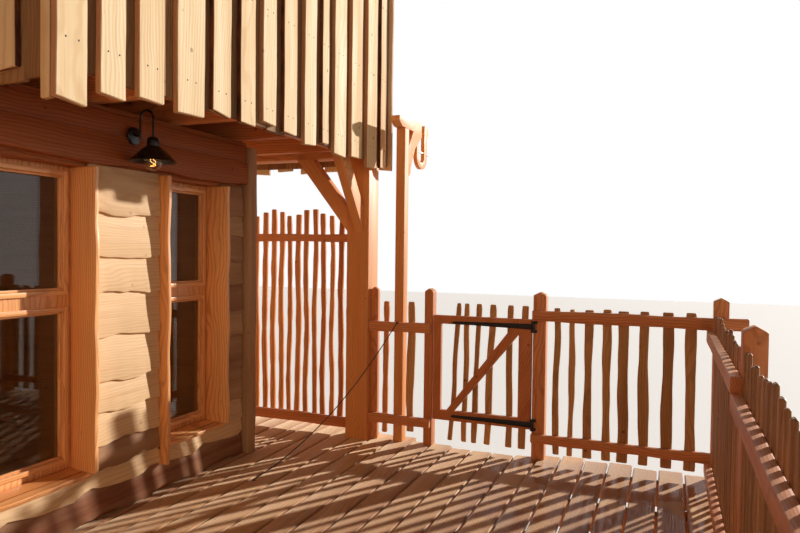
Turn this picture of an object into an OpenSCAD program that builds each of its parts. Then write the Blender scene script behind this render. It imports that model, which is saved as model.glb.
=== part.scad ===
// Tree house on stilts: a two-storey cabin with a terrace, a railing with a gate, and a hoist.
// Millimetres. Z = 0 is the ground, X runs from the cabin to the open edge of the terrace,
// and Y runs along the cabin to the hoist end. The origin is in the middle of the plan.

/* [Platform] */
// Height of the deck above the ground
deck_h = 2600; // [2000:50:3400]
// Width of the terrace, from the cabin wall to the open edge
terrace_w = 3190; // [2800:10:3600]
// Depth of the gallery behind the cabin
gallery_d = 820; // [760:10:900]
// Spacing of the deck boards
board_pitch = 164; // [140:1:180]
// Gap between two deck boards
board_gap = 9; // [5:1:14]
// Thickness of the deck boards
board_t = 35; // [28:1:45]
// Side of a stilt
stilt_s = 190; // [160:5:220]

/* [Cabin] */
// Width of the cabin, over its wall faces
cabin_w = 3200; // [3000:50:3600]
// Length of the cabin, over its wall faces
cabin_l = 4700; // [4600:50:5200]
// Thickness of the lower walls
wall_t = 160; // [140:5:180]
// Height from the deck to the underside of the beams
room_h = 2240; // [2200:10:2400]
// Height of the window sills above the deck
sill_h = 290; // [260:10:400]
// Height of the window and door heads above the deck
head_h = 1930; // [1880:10:2000]
// How far the jamb boards reach out of the wall
jamb_out = 100; // [80:5:120]

/* [Upper storey] */
// Overhang over the terrace
overhang_x = 715; // [600:5:800]
// Overhang over the gallery
overhang_y = 905; // [860:5:1000]
// Length of the part that overhangs the terrace, from the gable at the gate end
bay_l = 3140; // [2900:10:3400]
// Height of the upper side walls above the upper floor
knee_h = 1750; // [1500:50:2000]
// Pitch of the roof, in degrees
roof_pitch = 42; // [35:1:48]
// Overhang of the eaves
eave = 300; // [200:10:400]
// Overhang of the verges
verge = 400; // [300:10:500]

/* [Terrace rail] */
// Height of the top of the railing above the deck
rail_h = 1085; // [1050:5:1120]
// Side of a railing post
post_s = 92; // [80:1:100]
// Height of a post's shoulder above the deck
shoulder_h = 1190; // [1150:5:1220]
// How far the top rail of the far side runs past the corner post
rail_past = 112; // [80:1:150]
// Width of the opening that the gate closes
gate_gap = 769; // [700:1:850]

/* [Hoist] */
// Height of the top of the hoist arm above the deck
hoist_h = 2570; // [2400:10:2700]
// Reach of the hoist arm past the front of its post
hoist_reach = 372; // [340:2:400]

/* [Hidden] */

clad_in = 25;
clad_out = 30;
clad_t = clad_in + clad_out;

// The plan, from the back eaves to the end of the rail that runs past the corner post
plan_x = eave + clad_t + cabin_w + terrace_w + post_s + rail_past;
plan_y = 2 * (verge + clad_t) + cabin_l + overhang_y;
x_back = -plan_x / 2 + eave + clad_t;
x_wall = x_back + cabin_w;
x_edge = x_wall + terrace_w;
y_near = -plan_y / 2 + verge + clad_t;
y_far = y_near + cabin_l;

// Levels above the ground
joist_h = 160;
joist_w = 70;
beam_h = 220;
beam_w = 120;
z_joist = deck_h - board_t;
z_beam = z_joist - joist_h;
z_stilt = z_beam - beam_h;
z_soffit = deck_h + room_h;
upper_beam_h = 200;
z_plate = z_soffit + 40;
z_upper = z_soffit + upper_beam_h;
floor_t = 35;
z_floor = z_upper + floor_t;
z_eave = z_floor + knee_h;

// The fence line at the far edge of the deck
fence_y = y_far + gallery_d - 140;
rim_w = 70;

// The upper storey
x_over = x_wall + overhang_x;
y_over = y_far + overhang_y;
y_bay = y_over - bay_l;
split = 2;
upper_t = 120;
x_ridge = (x_back + x_over) / 2;
half_span = (x_over - x_back) / 2;
slope = tan(roof_pitch);
z_ridge = z_eave + half_span * slope;

// Windows and the door of the terrace wall: distance of the near side from the far corner,
// clear width, sill and head above the deck
jamb_t = 26;
window_w = 559;
wide_w = 850;
door_w = 800;
terrace_windows = [
    [894, window_w], [2320, wide_w], [cabin_l - 335, window_w]
];
door_at = 3560;
back_windows = [1500, 3760];
near_window = 1180;
frame_w = 75;
frame_d = 70;
transom_z = 1212;
transom_h = 115;
glass_t = 20;

// Posts and rails of the terrace
post_peak = 24;
post_down = 300;
rail_t = 45;
pale_t = 22;
gate_left = x_wall + 1238;
gate_right = gate_left + gate_gap;
hoist_x = x_wall + 919;
hoist_w = 73;
hoist_d = 88;
bay = 1800;

// The gate turns on pins in front of its right post
pin_x = gate_right + 5;
pin_y = fence_y - 17;
pin_r = 6;
knuckle_r = 12;
strap_t = 6;
strap_w = 42;
gate_front = fence_y - 5;
gate_play = 9;
hinge_play = 8;

heavy_s = 190;
heavy_x = x_over - heavy_s;
heavy_y = fence_y - 60;

// Railing posts on the far edge: left face, width and depth
fence_posts = [
    [x_over, 62, 45], [gate_left - 68, 68, post_s], [gate_right, post_s, post_s], [x_edge, post_s, post_s]
];
side_posts_y = [for (i = [1 : 3]) fence_y - i * bay];

module bar(x0, x1, y0, y1, z0, z1) {
    translate([x0, y0, z0]) cube([x1 - x0, y1 - y0, z1 - z0]);
}

// A flat outline in X and Z, as thick as y1 - y0
module plate_xz(points, y0, y1) {
    translate([0, y1, 0]) rotate([90, 0, 0]) linear_extrude(y1 - y0) polygon(points);
}

// A flat outline in Y and Z, as thick as x1 - x0
module plate_yz(points, x0, x1) {
    translate([x0, 0, 0]) rotate([90, 0, 90]) linear_extrude(x1 - x0) polygon(points);
}

stilt_x = [x_back + beam_w, x_wall - beam_w, x_edge - stilt_s];
stilt_y = [y_near + stilt_s, y_near + 2600, fence_y - 260];

module stilts() {
    color("peru")
    for (x = stilt_x, y = stilt_y)
        bar(x - stilt_s / 2, x + stilt_s / 2, y - stilt_s / 2, y + stilt_s / 2, 0, z_stilt);
}

brace_reach = 700;
brace_t = 90;
brace_w = 130;

// A 45-degree brace in Y and Z, from a stilt's face up to the beam
function brace_line(y, dir) = [
    [y, z_stilt - brace_reach - brace_w],
    [y, z_stilt - brace_reach + brace_w * 0.4],
    [y + dir * (brace_reach - brace_w * 0.4), z_stilt],
    [y + dir * (brace_reach + brace_w), z_stilt]
];

module stilt_braces() {
    color("peru")
    for (x = stilt_x, i = [0 : 2], dir = [-1, 1])
        if (!(i == 0 && dir < 0) && !(i == 2 && dir > 0))
            plate_yz(brace_line(stilt_y[i] + dir * stilt_s / 2, dir), x - brace_t / 2, x + brace_t / 2);
}

module main_beams() {
    color("burlywood")
    for (x = stilt_x)
        bar(x - beam_w / 2, x + beam_w / 2, y_near - 40, fence_y - rim_w, z_stilt, z_beam);
}

joists = 9;
joist_step = (fence_y - rim_w - y_near) / joists;

module floor_joists() {
    color("burlywood") {
        for (i = [0 : joists - 1])
            bar(x_back, x_edge - rim_w, y_near + i * joist_step, y_near + i * joist_step + joist_w,
                z_beam, z_joist);
        bar(x_back + heavy_s, heavy_x, fence_y - rim_w, fence_y, z_beam, z_joist);
        bar(x_over, x_edge - rim_w, fence_y - rim_w, fence_y, z_beam, z_joist);
    }
}

module edge_joist() {
    color("burlywood")
    bar(x_edge - rim_w, x_edge, y_near, fence_y, z_beam, z_joist);
}

boards = ceil(terrace_w / board_pitch);
gallery_n = ceil(cabin_w / board_pitch);

// The boards were never cut to one line: how far each board of the terrace runs past the fence
// line, from the open edge inwards. Behind the cabin they all run further out.
board_reach = [
    90, 120, 95, 150, 120, 170, 120, 50, 20, 20, 20, 70, 65, 160, 155, 200, 250, 270, 260, 275
];
function board_end(i) = fence_y + (i < len(board_reach) ? board_reach[i] : 260 + 18 * sin(i * 97));

module post_notches() {
    for (p = fence_posts)
        bar(p[0] - 1, p[0] + p[1] + 1, fence_y, fence_y + p[2] + 1, z_joist - 1, deck_h + 1);
    bar(hoist_x - 1, hoist_x + hoist_w + 1, fence_y, fence_y + hoist_d + 1, z_joist - 1, deck_h + 1);
    for (p = heavy_at)
        bar(p[0] - 1, p[0] + heavy_s + 1, p[1] - 1, p[1] + heavy_s + (p[1] > y_far ? 200 : 1),
            z_joist - 1, deck_h + 1);
    bar(x_over - 1, x_over + 20, fence_y + 40, fence_y + 300, z_joist - 1, deck_h + 1);
}

module terrace_boards() {
    color("sienna")
    difference() {
        for (i = [0 : boards - 1])
            bar(max(x_wall, x_edge - (i + 1) * board_pitch + board_gap), x_edge - i * board_pitch,
                y_near - 40, board_end(i), z_joist, deck_h);
        post_notches();
    }
}

module gallery_boards() {
    color("sienna")
    difference() {
        for (i = [0 : gallery_n - 1])
            bar(max(x_back, x_wall - (i + 1) * board_pitch + board_gap), x_wall - i * board_pitch - 6,
                y_far, board_end(i + boards), z_joist, deck_h);
        post_notches();
    }
}

module cabin_floor() {
    color("burlywood")
    bar(x_back, x_wall, y_near, y_far, z_joist, deck_h);
}

// The hole of a window in the terrace wall, over its jamb boards
module terrace_hole(at, w, low) {
    bar(x_wall - wall_t - 1, x_wall + 200, y_far - at - jamb_t, y_far - at + w + jamb_t,
        deck_h + low, deck_h + head_h);
}

module terrace_holes() {
    for (o = terrace_windows) terrace_hole(o[0], o[1], sill_h);
    terrace_hole(door_at, door_w, -1);
}

module terrace_wall() {
    color("tan")
    difference() {
        bar(x_wall - wall_t, x_wall, y_near, y_far, deck_h, z_plate);
        terrace_holes();
    }
}

module far_wall() {
    color("tan")
    bar(x_back + wall_t, x_wall - wall_t, y_far - wall_t, y_far, deck_h, z_plate);
}

module near_hole() {
    bar(x_back + near_window - jamb_t, x_back + near_window + wide_w + jamb_t,
        y_near - 200, y_near + wall_t + 1, deck_h + sill_h, deck_h + head_h);
}

module near_wall() {
    color("tan")
    difference() {
        bar(x_back + wall_t, x_wall - wall_t, y_near, y_near + wall_t, deck_h, z_plate);
        near_hole();
    }
}

module back_holes() {
    for (at = back_windows)
        bar(x_back - 200, x_back + wall_t + 1, y_far - at - jamb_t, y_far - at + window_w + jamb_t,
            deck_h + sill_h, deck_h + head_h);
}

module back_wall() {
    color("tan")
    difference() {
        bar(x_back, x_back + wall_t, y_near, y_far, deck_h, z_plate);
        back_holes();
    }
}

corner_w = 100;
corner_t = 80;

// A corner board wraps one corner of the cabin: sx and sy point out of it
module corner_board(x, y, sx, sy) {
    translate([x, y, deck_h])
    mirror([sx < 0 ? 1 : 0, 0, 0])
    mirror([0, sy < 0 ? 1 : 0, 0])
    linear_extrude(room_h)
    polygon([
        [0, -70], [corner_t, -70], [corner_t, 35], [-70, 35], [-70, 0], [0, 0]
    ]);
}

module corner_boards() {
    color("burlywood") {
        corner_board(x_wall, y_far, 1, 1);
        corner_board(x_back, y_far, -1, 1);
        corner_board(x_wall, y_near, 1, -1);
        corner_board(x_back, y_near, -1, -1);
    }
}

header_t = 70;
header_low = 1950;
function waney(y) = 9 * sin(y * 0.21) + 6 * sin(y * 0.47 + 40);

module terrace_header() {
    step = 180;
    y0 = y_near + 70;
    y1 = y_far - 70;
    color("sienna")
    plate_yz(concat(
        [[y1, z_soffit], [y0, z_soffit]],
        [for (i = [0 : floor((y1 - y0) / step)])
            [y0 + i * step, deck_h + header_low + 10 + waney(i * step)]],
        [[y1, deck_h + header_low + 10 + waney(y1 - y0)]]
    ), x_wall, x_wall + header_t);
}

lap = 205;
lap_thin = 12;
lap_thick = 34;

// The stepped outline of lapped boards, from the deck up to the height top
function lapped(top) = let (n = ceil(top / lap)) concat(
    [[0, min(top, n * lap)], [0, 0]],
    [for (i = [0 : n - 1], k = [0, 1])
        [k == 0 ? lap_thick : lap_thin, min(top, (i + k) * lap)]]
);

module siding(length, top) {
    rotate([90, 0, 0]) linear_extrude(length) polygon(lapped(top));
}

module terrace_siding() {
    color("wheat")
    difference() {
        translate([x_wall, y_far - 70, deck_h]) siding(cabin_l - 140, header_low - 10);
        terrace_holes();
        for (o = terrace_windows)
            bar(x_wall - 1, x_wall + 200, y_far - o[0] - jamb_t - 60, y_far - o[0] + o[1] + jamb_t + 60,
                deck_h + sill_h - 70, deck_h + sill_h + 1);
    }
}

module outer_siding() {
    color("wheat") {
        translate([x_back + 70, y_far, deck_h]) rotate([0, 0, 90]) siding(cabin_w - 140, room_h);
        difference() {
            translate([x_wall - 70, y_near, deck_h]) rotate([0, 0, -90]) siding(cabin_w - 140, room_h);
            near_hole();
            bar(x_back + near_window - jamb_t - 60, x_back + near_window + wide_w + jamb_t + 60,
                y_near - 200, y_near + 1, deck_h + sill_h - 70, deck_h + sill_h + 1);
        }
        difference() {
            translate([x_back, y_near + 70, deck_h]) rotate([0, 0, 180]) siding(cabin_l - 140, room_h);
            back_holes();
            for (at = back_windows)
                bar(x_back - 200, x_back + 1, y_far - at - jamb_t - 60,
                    y_far - at + window_w + jamb_t + 60, deck_h + sill_h - 70, deck_h + sill_h + 1);
        }
    }
}

// Every window is drawn in its own frame: its hole's low near corner is the origin,
// X points out of the wall and Y runs along it
module at_window(i) {
    if (i < 3)
        translate([x_wall, y_far - terrace_windows[i][0] - jamb_t, deck_h + sill_h]) children();
    else if (i < 5)
        translate([x_back, y_far - back_windows[i - 3] + window_w + jamb_t, deck_h + sill_h])
        rotate([0, 0, 180]) children();
    else
        translate([x_back + near_window - jamb_t, y_near, deck_h + sill_h])
        rotate([0, 0, -90]) children();
}

window_widths = [window_w, wide_w, window_w, window_w, window_w, wide_w];
hole_h = head_h - sill_h;
reveal = wall_t - frame_d;

module window_jambs() {
    color("peru") {
        for (i = [0 : 5]) {
            w = window_widths[i];
            at_window(i) {
                bar(-reveal, jamb_out, 0, jamb_t, 0, hole_h);
                bar(-reveal, jamb_out, w + jamb_t, w + 2 * jamb_t, 0, hole_h);
            }
        }
        for (y = [y_far - door_at - jamb_t, y_far - door_at + door_w])
            bar(x_wall - wall_t, x_wall + jamb_out, y, y + jamb_t, deck_h, deck_h + head_h);
    }
}

module window_sills() {
    color("peru")
    for (i = [0 : 5]) {
        w = window_widths[i];
        at_window(i)
        translate([0, w + 2 * jamb_t + 50, 0]) rotate([90, 0, 0])
        linear_extrude(w + 2 * jamb_t + 100)
        polygon([[0, 0], [jamb_out, 0], [jamb_out + 25, -18], [jamb_out + 25, -50], [0, -64]]);
    }
}

module window_frames() {
    color("darkorange")
    for (i = [0 : 5]) {
        w = window_widths[i] + 2 * jamb_t;
        at_window(i)
        difference() {
            bar(-wall_t, -reveal, 0, w, 0, hole_h);
            bar(-wall_t - 1, 1, frame_w, w - frame_w, frame_w, transom_z - sill_h - transom_h / 2);
            bar(-wall_t - 1, 1, frame_w, w - frame_w, transom_z - sill_h + transom_h / 2,
                hole_h - frame_w * 0.7);
        }
    }
}

module window_glass() {
    color("lightblue", 0.4)
    for (i = [0 : 5]) {
        w = window_widths[i] + 2 * jamb_t;
        mid = transom_z - sill_h;
        at_window(i) {
            bar(-wall_t + 25, -wall_t + 25 + glass_t, frame_w, w - frame_w, frame_w, mid - transom_h / 2);
            bar(-wall_t + 25, -wall_t + 25 + glass_t, frame_w, w - frame_w, mid + transom_h / 2,
                hole_h - frame_w * 0.7);
        }
    }
    color("lightblue", 0.4) gable_lights(25, 25 + glass_t);
}

module entry_door() {
    color("chocolate") {
        y0 = y_far - door_at;
        bar(x_wall - 110, x_wall - 60, y0, y0 + door_w, deck_h + 12, deck_h + head_h);
    }
}

lamp_y = y_far - 1178;
lamp_z = deck_h + 2135;
lamp_x = x_wall + header_t;
lamp_out = 140;
arch_r = 46;
lamp_rim_r = 128;
lamp_rim_z = lamp_z - 152;

module wall_lamp() {
    tube_r = 6;
    plate_t = 16;
    color("black") {
        translate([lamp_x, lamp_y, lamp_z]) rotate([0, 90, 0]) cylinder(h = plate_t, r = 51, $fn = 48);
        translate([lamp_x + plate_t, lamp_y, lamp_z]) rotate([0, 90, 0])
            cylinder(h = lamp_out - 2 * arch_r - plate_t + tube_r, r = tube_r, $fn = 24);
        translate([lamp_x + lamp_out - 2 * arch_r, lamp_y, lamp_z])
            cylinder(h = 94, r = tube_r, $fn = 24);
        translate([lamp_x + lamp_out - arch_r, lamp_y, lamp_z + 94]) rotate([90, 0, 0])
            rotate_extrude(angle = 180, $fn = 48) translate([arch_r, 0]) circle(r = tube_r, $fn = 24);
        translate([lamp_x + lamp_out, lamp_y, 0]) {
            translate([0, 0, lamp_rim_z + 140]) cylinder(h = lamp_z + 94 - lamp_rim_z - 140, r = tube_r, $fn = 24);
            rotate_extrude($fn = 64)
            polygon([
                [lamp_rim_r - 3, lamp_rim_z], [lamp_rim_r, lamp_rim_z], [lamp_rim_r, lamp_rim_z + 4],
                [33, lamp_rim_z + 88], [32, lamp_rim_z + 128], [14, lamp_rim_z + 142],
                [0, lamp_rim_z + 142], [0, lamp_rim_z + 100], [17, lamp_rim_z + 100],
                [17, lamp_rim_z + 130], [29, lamp_rim_z + 126], [30, lamp_rim_z + 86]
            ]);
        }
    }
}

module lamp_bulb() {
    color("lightyellow", 0.5)
    translate([lamp_x + lamp_out, lamp_y, 0])
    rotate_extrude($fn = 48)
    polygon(concat(
        [[0, lamp_rim_z + 100], [15, lamp_rim_z + 100], [15, lamp_rim_z + 60]],
        [for (a = [60 : -15 : -75]) [52 * cos(a), lamp_rim_z + 52 * sin(a)]],
        [[0, lamp_rim_z - 52 * sin(75)]]
    ));
}

// The heavy posts run from the ground, through the deck, up to the beams of the upper storey
heavy_at = [[heavy_x, heavy_y], [x_back, heavy_y]];

module heavy_posts() {
    color("burlywood")
    for (p = heavy_at)
        bar(p[0], p[0] + heavy_s, p[1], p[1] + heavy_s, 0, z_soffit);
}

knee_t = 76;
knee_low = 595;
knee_high = 400;
knee_reach_x = 475;
knee_reach_y = 428;

// A knee brace stands steeper than 45 degrees: its lower edge leaves the post at knee_low under
// the beams and meets them at reach from the post
function knee(from, dir, reach) = [
    [from, z_soffit - knee_low],
    [from, z_soffit - knee_high],
    [from + dir * reach * knee_high / knee_low, z_soffit],
    [from + dir * reach, z_soffit]
];

module knee_braces() {
    color("burlywood") {
        low_y = heavy_y + 15;
        mid_x = heavy_x + heavy_s / 2 + 15;
        plate_xz(knee(heavy_x, -1, knee_reach_x), low_y, low_y + knee_t);
        plate_xz(knee(x_back + heavy_s, 1, knee_reach_x), low_y, low_y + knee_t);
        plate_yz(knee(heavy_y, -1, knee_reach_y), mid_x - knee_t / 2, mid_x + knee_t / 2);
    }
}

edge_w = 150;

module cross_beam() {
    color("burlywood")
    bar(x_back, x_over - edge_w, heavy_y + 15, heavy_y + heavy_s - 15, z_soffit, z_upper);
}

module edge_beam() {
    color("burlywood")
    bar(x_over - edge_w, x_over, y_bay, y_over, z_soffit, z_upper);
}

upper_n = 9;
upper_step = (heavy_y - 120 - y_near) / (upper_n - 1);

module upper_joists() {
    color("burlywood") {
        for (i = [0 : upper_n - 1]) {
            y = y_near + i * upper_step;
            bar(x_back, y < y_bay ? x_wall : x_over - edge_w, y, y + 80, z_plate, z_upper);
        }
        for (y = [y_bay, y_over - 80])
            bar(x_back, x_over - edge_w, y, y + 80, z_plate, z_upper);
    }
}

module upper_floor() {
    color("burlywood") {
        bar(x_back, x_wall, y_near, y_over, z_upper, z_floor);
        bar(x_wall + split, x_over, y_bay, y_over, z_upper, z_floor);
    }
}

function roof_z(x) = z_eave - 0.1 + (half_span - abs(x - x_ridge)) * slope;

// A wall in the upper storey from x0 to x1 and y0 to y1, up to the roof
module upper_wall(x0, x1, y0, y1) {
    plate_xz([[x0, z_floor], [x1, z_floor], [x1, roof_z(x1)], [x0, roof_z(x0)]], y0, y1);
}

// The overhanging part ends short of the cabin: its end wall steps back to the line of the wall below
module upper_side_walls() {
    color("tan") {
        upper_wall(x_back, x_back + upper_t, y_near, y_over);
        upper_wall(x_over - upper_t, x_over, y_bay, y_over);
        upper_wall(x_wall + split, x_over - upper_t - split, y_bay, y_bay + upper_t);
        upper_wall(x_wall - upper_t, x_wall, y_near, y_bay + upper_t);
    }
}

gable_win_w = 800;
gable_win_h = 1000;
gable_win_z = z_floor + 900;
gable_at = [y_near, y_over - upper_t];

module gable_hole(grow) {
    bar(x_ridge - gable_win_w / 2 - grow, x_ridge + gable_win_w / 2 + grow, -plan_y, plan_y,
        gable_win_z - grow, gable_win_z + gable_win_h + grow);
}

module gable_walls() {
    x0 = x_back + upper_t;
    color("tan")
    difference() {
        for (y = gable_at) {
            x1 = (y == y_near ? x_wall : x_over) - upper_t;
            plate_xz([[x0, z_floor], [x1, z_floor], [x1, roof_z(x1)], [x_ridge, z_ridge], [x0, roof_z(x0)]],
                     y, y + upper_t);
        }
        gable_hole(0);
    }
}

// Board on board: the inner layer is whole, and the outer boards stand on it with gaps
cover_pitch = 245;
cover_w = 165;
clad_low = z_soffit - 95;
flush_low = z_soffit + 35;

// The outer boards of a side towards the gate end: how far each one's near edge is from the
// corner, its width, and how far its lower end is above the cladding's line
gate_end_boards = [
    [220, 100, 15], [470, 180, -5], [740, 180, 35], [1000, 180, 15], [1170, 90, 65],
    [1400, 150, 25], [1640, 150, 55], [1860, 140, 75], [2070, 140, 35], [2300, 150, 45],
    [2560, 200, -5], [2800, 160, 5], [3010, 140, -25], [3220, 150, -85]
];

// The cover boards of the end wall over the terrace: how far each one's outer edge is from the
// corner, its width, and its lower end above the cladding's line
end_boards = [[0, 83, -82], [215, 150, 50], [430, 150, 40], [630, 65, 55]];

// The outer layer's depth from a wall's face
layer = [clad_in - 1, clad_t];

module cover_board(x, y, w, low, high) {
    bar(x + layer[0], x + layer[1], y, y + w, low, high);
}

// Boards of the end wall from x0 to x1: their top follows the roof, lower by drop
module end_board(x0, x1, y0, y1, low, drop) {
    plate_xz([[x0, low], [x1, low], [x1, roof_z(x1) - drop], [x0, roof_z(x0) - drop]], y0, y1);
}

// The cladding of the cabin's back side, whole from gable to gable
module back_cladding() {
    low = flush_low + 30;
    y0 = y_near - clad_in + 2;
    y1 = y_over + clad_in - 2;
    last = gate_end_boards[len(gate_end_boards) - 1];
    bar(x_over, x_over + clad_in, y0, y1, low + 50, z_eave - 30);
    for (b = gate_end_boards) cover_board(x_over, y1 + 2 - b[0], b[1], low + b[2] / 3, z_eave - 60);
    for (i = [0 : floor((y1 - last[0] - cover_w - y0) / cover_pitch)])
        cover_board(x_over, y0 + i * cover_pitch, cover_w, flush_low + 20 * sin(i * 131), z_eave - 60);
}

module side_cladding() {
    y1 = y_over + clad_in - 2;
    high = z_eave - 60;
    near_high = roof_z(x_wall + clad_t) - 20;
    color("wheat") {
        translate([2 * x_ridge, 0, 0]) mirror([1, 0, 0]) back_cladding();
        bar(x_over, x_over + clad_in, y_bay, y1, clad_low + 50, z_eave - 30);
        for (b = gate_end_boards) cover_board(x_over, y1 + 2 - b[0], b[1], clad_low + b[2], high);
        end_board(x_wall + header_t + split, x_over + clad_in - 1 - split, y_bay - clad_in, y_bay - split, clad_low, 6);
        for (b = end_boards)
            end_board(x_over + clad_t - b[0] - b[1], x_over + clad_t - max(b[0], clad_out + split),
                      y_bay - clad_t, y_bay - clad_in + 1, clad_low + b[2], 14);
        bar(x_wall, x_wall + clad_in, y_near - clad_in + 2, y_bay - clad_t - split, flush_low + 30, near_high);
        for (i = [0 : floor((y_bay - clad_t - cover_w - y_near) / cover_pitch)])
            cover_board(x_wall, y_near - clad_in + 2 + i * cover_pitch, cover_w, flush_low + 20 * sin(i * 131), near_high);
    }
}

// A gable's outline: it reaches past the sides by grow, and lies under the roof line by drop
module gable_face(y0, y1, low, grow, drop, side) {
    x0 = x_back - grow;
    x1 = side + grow;
    function under(x) = z_ridge - abs(x - x_ridge) * slope - drop;
    plate_xz([[x0, low], [x1, low], [x1, under(x1)], [x_ridge, under(x_ridge)], [x0, under(x0)]], y0, y1);
}

module gable_cladding() {
    first = x_back - clad_t;
    color("wheat")
    for (s = [0, 1]) {
        side = s == 0 ? x_over : x_wall;
        n = floor((side - x_back + 2 * clad_t - cover_w) / cover_pitch);
        pitch = (side - x_back + 2 * clad_t - cover_w) / n;
        low = s == 0 ? clad_low + 30 : flush_low;
        ya = s == 0 ? y_over : y_near;
        dir = s == 0 ? 1 : -1;
        difference() {
            union() {
                gable_face(min(ya, ya + dir * clad_in), max(ya, ya + dir * clad_in), low + 30, 0, 4, side);
                intersection() {
                    gable_face(min(ya, ya + dir * clad_t), max(ya, ya + dir * clad_t), low - 60, clad_t, 12, side);
                    for (i = [0 : n])
                        bar(first + i * pitch, first + i * pitch + cover_w,
                            min(ya + dir * (clad_in - 1), ya + dir * clad_t),
                            max(ya + dir * (clad_in - 1), ya + dir * clad_t),
                            low + 20 * sin(i * 113), z_ridge);
                }
            }
            gable_hole(0);
        }
    }
}

gable_frame_y = [y_near + 20, y_over - 20 - frame_d];
light_w = gable_win_w / 2 - 90;
light_h = gable_win_h - 140;

// The two lights of each gable window, as boxes between two depths of its frame
module gable_lights(d0, d1) {
    for (y = gable_frame_y, s = [-1, 1])
        translate([x_ridge + s * gable_win_w / 4 - light_w / 2, y + d0, gable_win_z + 70])
        cube([light_w, d1 - d0, light_h]);
}

module gable_windows() {
    color("darkorange")
    difference() {
        for (y = gable_frame_y)
            bar(x_ridge - gable_win_w / 2, x_ridge + gable_win_w / 2, y, y + frame_d,
                gable_win_z, gable_win_z + gable_win_h);
        gable_lights(-1, frame_d + 1);
    }
}

rafter_h = 140;
rafter_w = 70;
rafters = 9;
fascia_x = half_span + clad_t + eave;

// One slope of the roof between two heights above the rafters' undersides, from the ridge out
ridge_gap = 1;
function slope_band(side, low, high, out) = [
    for (p = [[ridge_gap, low], [out, low], [out, high], [ridge_gap, high]])
        [x_ridge + side * p[0], z_ridge - p[0] * slope + p[1]]
];

rafter_rise = rafter_h / cos(roof_pitch);
lath_rise = 30 / cos(roof_pitch);

module roof_rafters() {
    color("burlywood")
    for (i = [0 : rafters - 1], side = [-1, 1]) {
        y = -plan_y / 2 + 20 + i * (plan_y - 40 - rafter_w) / (rafters - 1);
        plate_xz(slope_band(side, 0, rafter_rise, fascia_x - 20), y, y + rafter_w);
    }
}

// Lapped roof boards: each course steps up over the one below it
course = 215;
course_n = ceil(fascia_x / course);

function slope_steps(side) = [
    for (i = [0 : course_n - 1], k = [0, 1])
        let (out = max(ridge_gap, min(fascia_x, (i + k) * course)))
        [x_ridge + side * out, z_ridge - out * slope + rafter_rise + lath_rise + (k == 0 ? 14 : 52)]
];

module roof_covering() {
    color("saddlebrown")
    for (side = [-1, 1])
        plate_xz(concat(
            [for (out = [fascia_x, ridge_gap]) [x_ridge + side * out, z_ridge - out * slope + rafter_rise]],
            slope_steps(side)
        ), -plan_y / 2, plan_y / 2);
}

cap_out = 190;
cap_t = 30;

module ridge_cap() {
    low = rafter_rise + lath_rise + 14.3;
    rise = 38 * cap_out / course;
    color("saddlebrown")
    plate_xz([
        [x_ridge - cap_out, z_ridge - cap_out * slope + low + rise], [x_ridge, z_ridge + low],
        [x_ridge + cap_out, z_ridge - cap_out * slope + low + rise],
        [x_ridge + cap_out, z_ridge - cap_out * slope + low + rise + cap_t],
        [x_ridge, z_ridge + low + rise + cap_t],
        [x_ridge - cap_out, z_ridge - cap_out * slope + low + rise + cap_t]
    ], -plan_y / 2, plan_y / 2);
}

// A round stick with few sides, from low to high
module stick(x, y, r, low, high) {
    translate([x, y, low]) cylinder(h = high - low, r = r, $fn = 6);
}

lattice_y = fence_y + 65;
lattice_pitch = 82;

module gallery_lattice() {
    x0 = x_back + heavy_s;
    x1 = heavy_x;
    n = floor((x1 - x0 - 60) / lattice_pitch);
    color("chocolate") {
        bar(x0, x1, lattice_y - 20, lattice_y + 20, deck_h + 50, deck_h + 130);
        bar(x0, x1, lattice_y - 20, lattice_y + 20, deck_h + 1567, deck_h + 1632);
        for (i = [0 : n])
            stick(x0 + 45 + i * lattice_pitch, lattice_y + 33, 19, deck_h + 60, deck_h + 1815 + 30 * sin(i * 79));
    }
}

// A railing post with a ridged top; the ridge runs along Y
module railing_post(x, y, sx, sy, low) {
    color("peru")
    plate_xz([
        [x, low], [x + sx, low], [x + sx, deck_h + shoulder_h],
        [x + sx / 2, deck_h + shoulder_h + post_peak], [x, deck_h + shoulder_h]
    ], y, y + sy);
}

module railing_posts() {
    for (p = fence_posts)
        railing_post(p[0], fence_y, p[1], p[2], deck_h - post_down);
    for (y = side_posts_y)
        railing_post(x_edge, y, post_s, post_s, deck_h - post_down);
}

// A flat pale with waney sides, its foot at the origin
module pale(w, h, seed, t) {
    rotate([90, 0, 0]) linear_extrude(t)
    polygon(concat(
        [for (k = [0 : 4]) [w / 2 + 5 * sin(k * 83 + seed * 57), h * k / 4]],
        [for (k = [4 : -1 : 0]) [-w / 2 + 5 * sin(k * 71 + seed * 131), h * k / 4]]
    ));
}

rail_top_z = deck_h + rail_h;
rail_deep = 80;

module short_fence() {
    color("chocolate") {
        for (z = [[140, 214], [867, 945]])
            bar(x_over, gate_left - 7, fence_y - rail_t, fence_y, deck_h + z[0], deck_h + z[1]);
        stick(x_over + 127, fence_y + 18, 22, deck_h + 60, deck_h + 1100);
        translate([gate_left - 181, fence_y + pale_t, deck_h + 88]) pale(66, 1016, 3, pale_t);
    }
}

// Pales of the far side: how far each one's middle is from the gate's post, and its width
back_pales = [
    [170, 49], [274, 45], [390, 61], [518, 60], [626, 75], [760, 71], [910, 75], [1053, 70]
];

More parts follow.
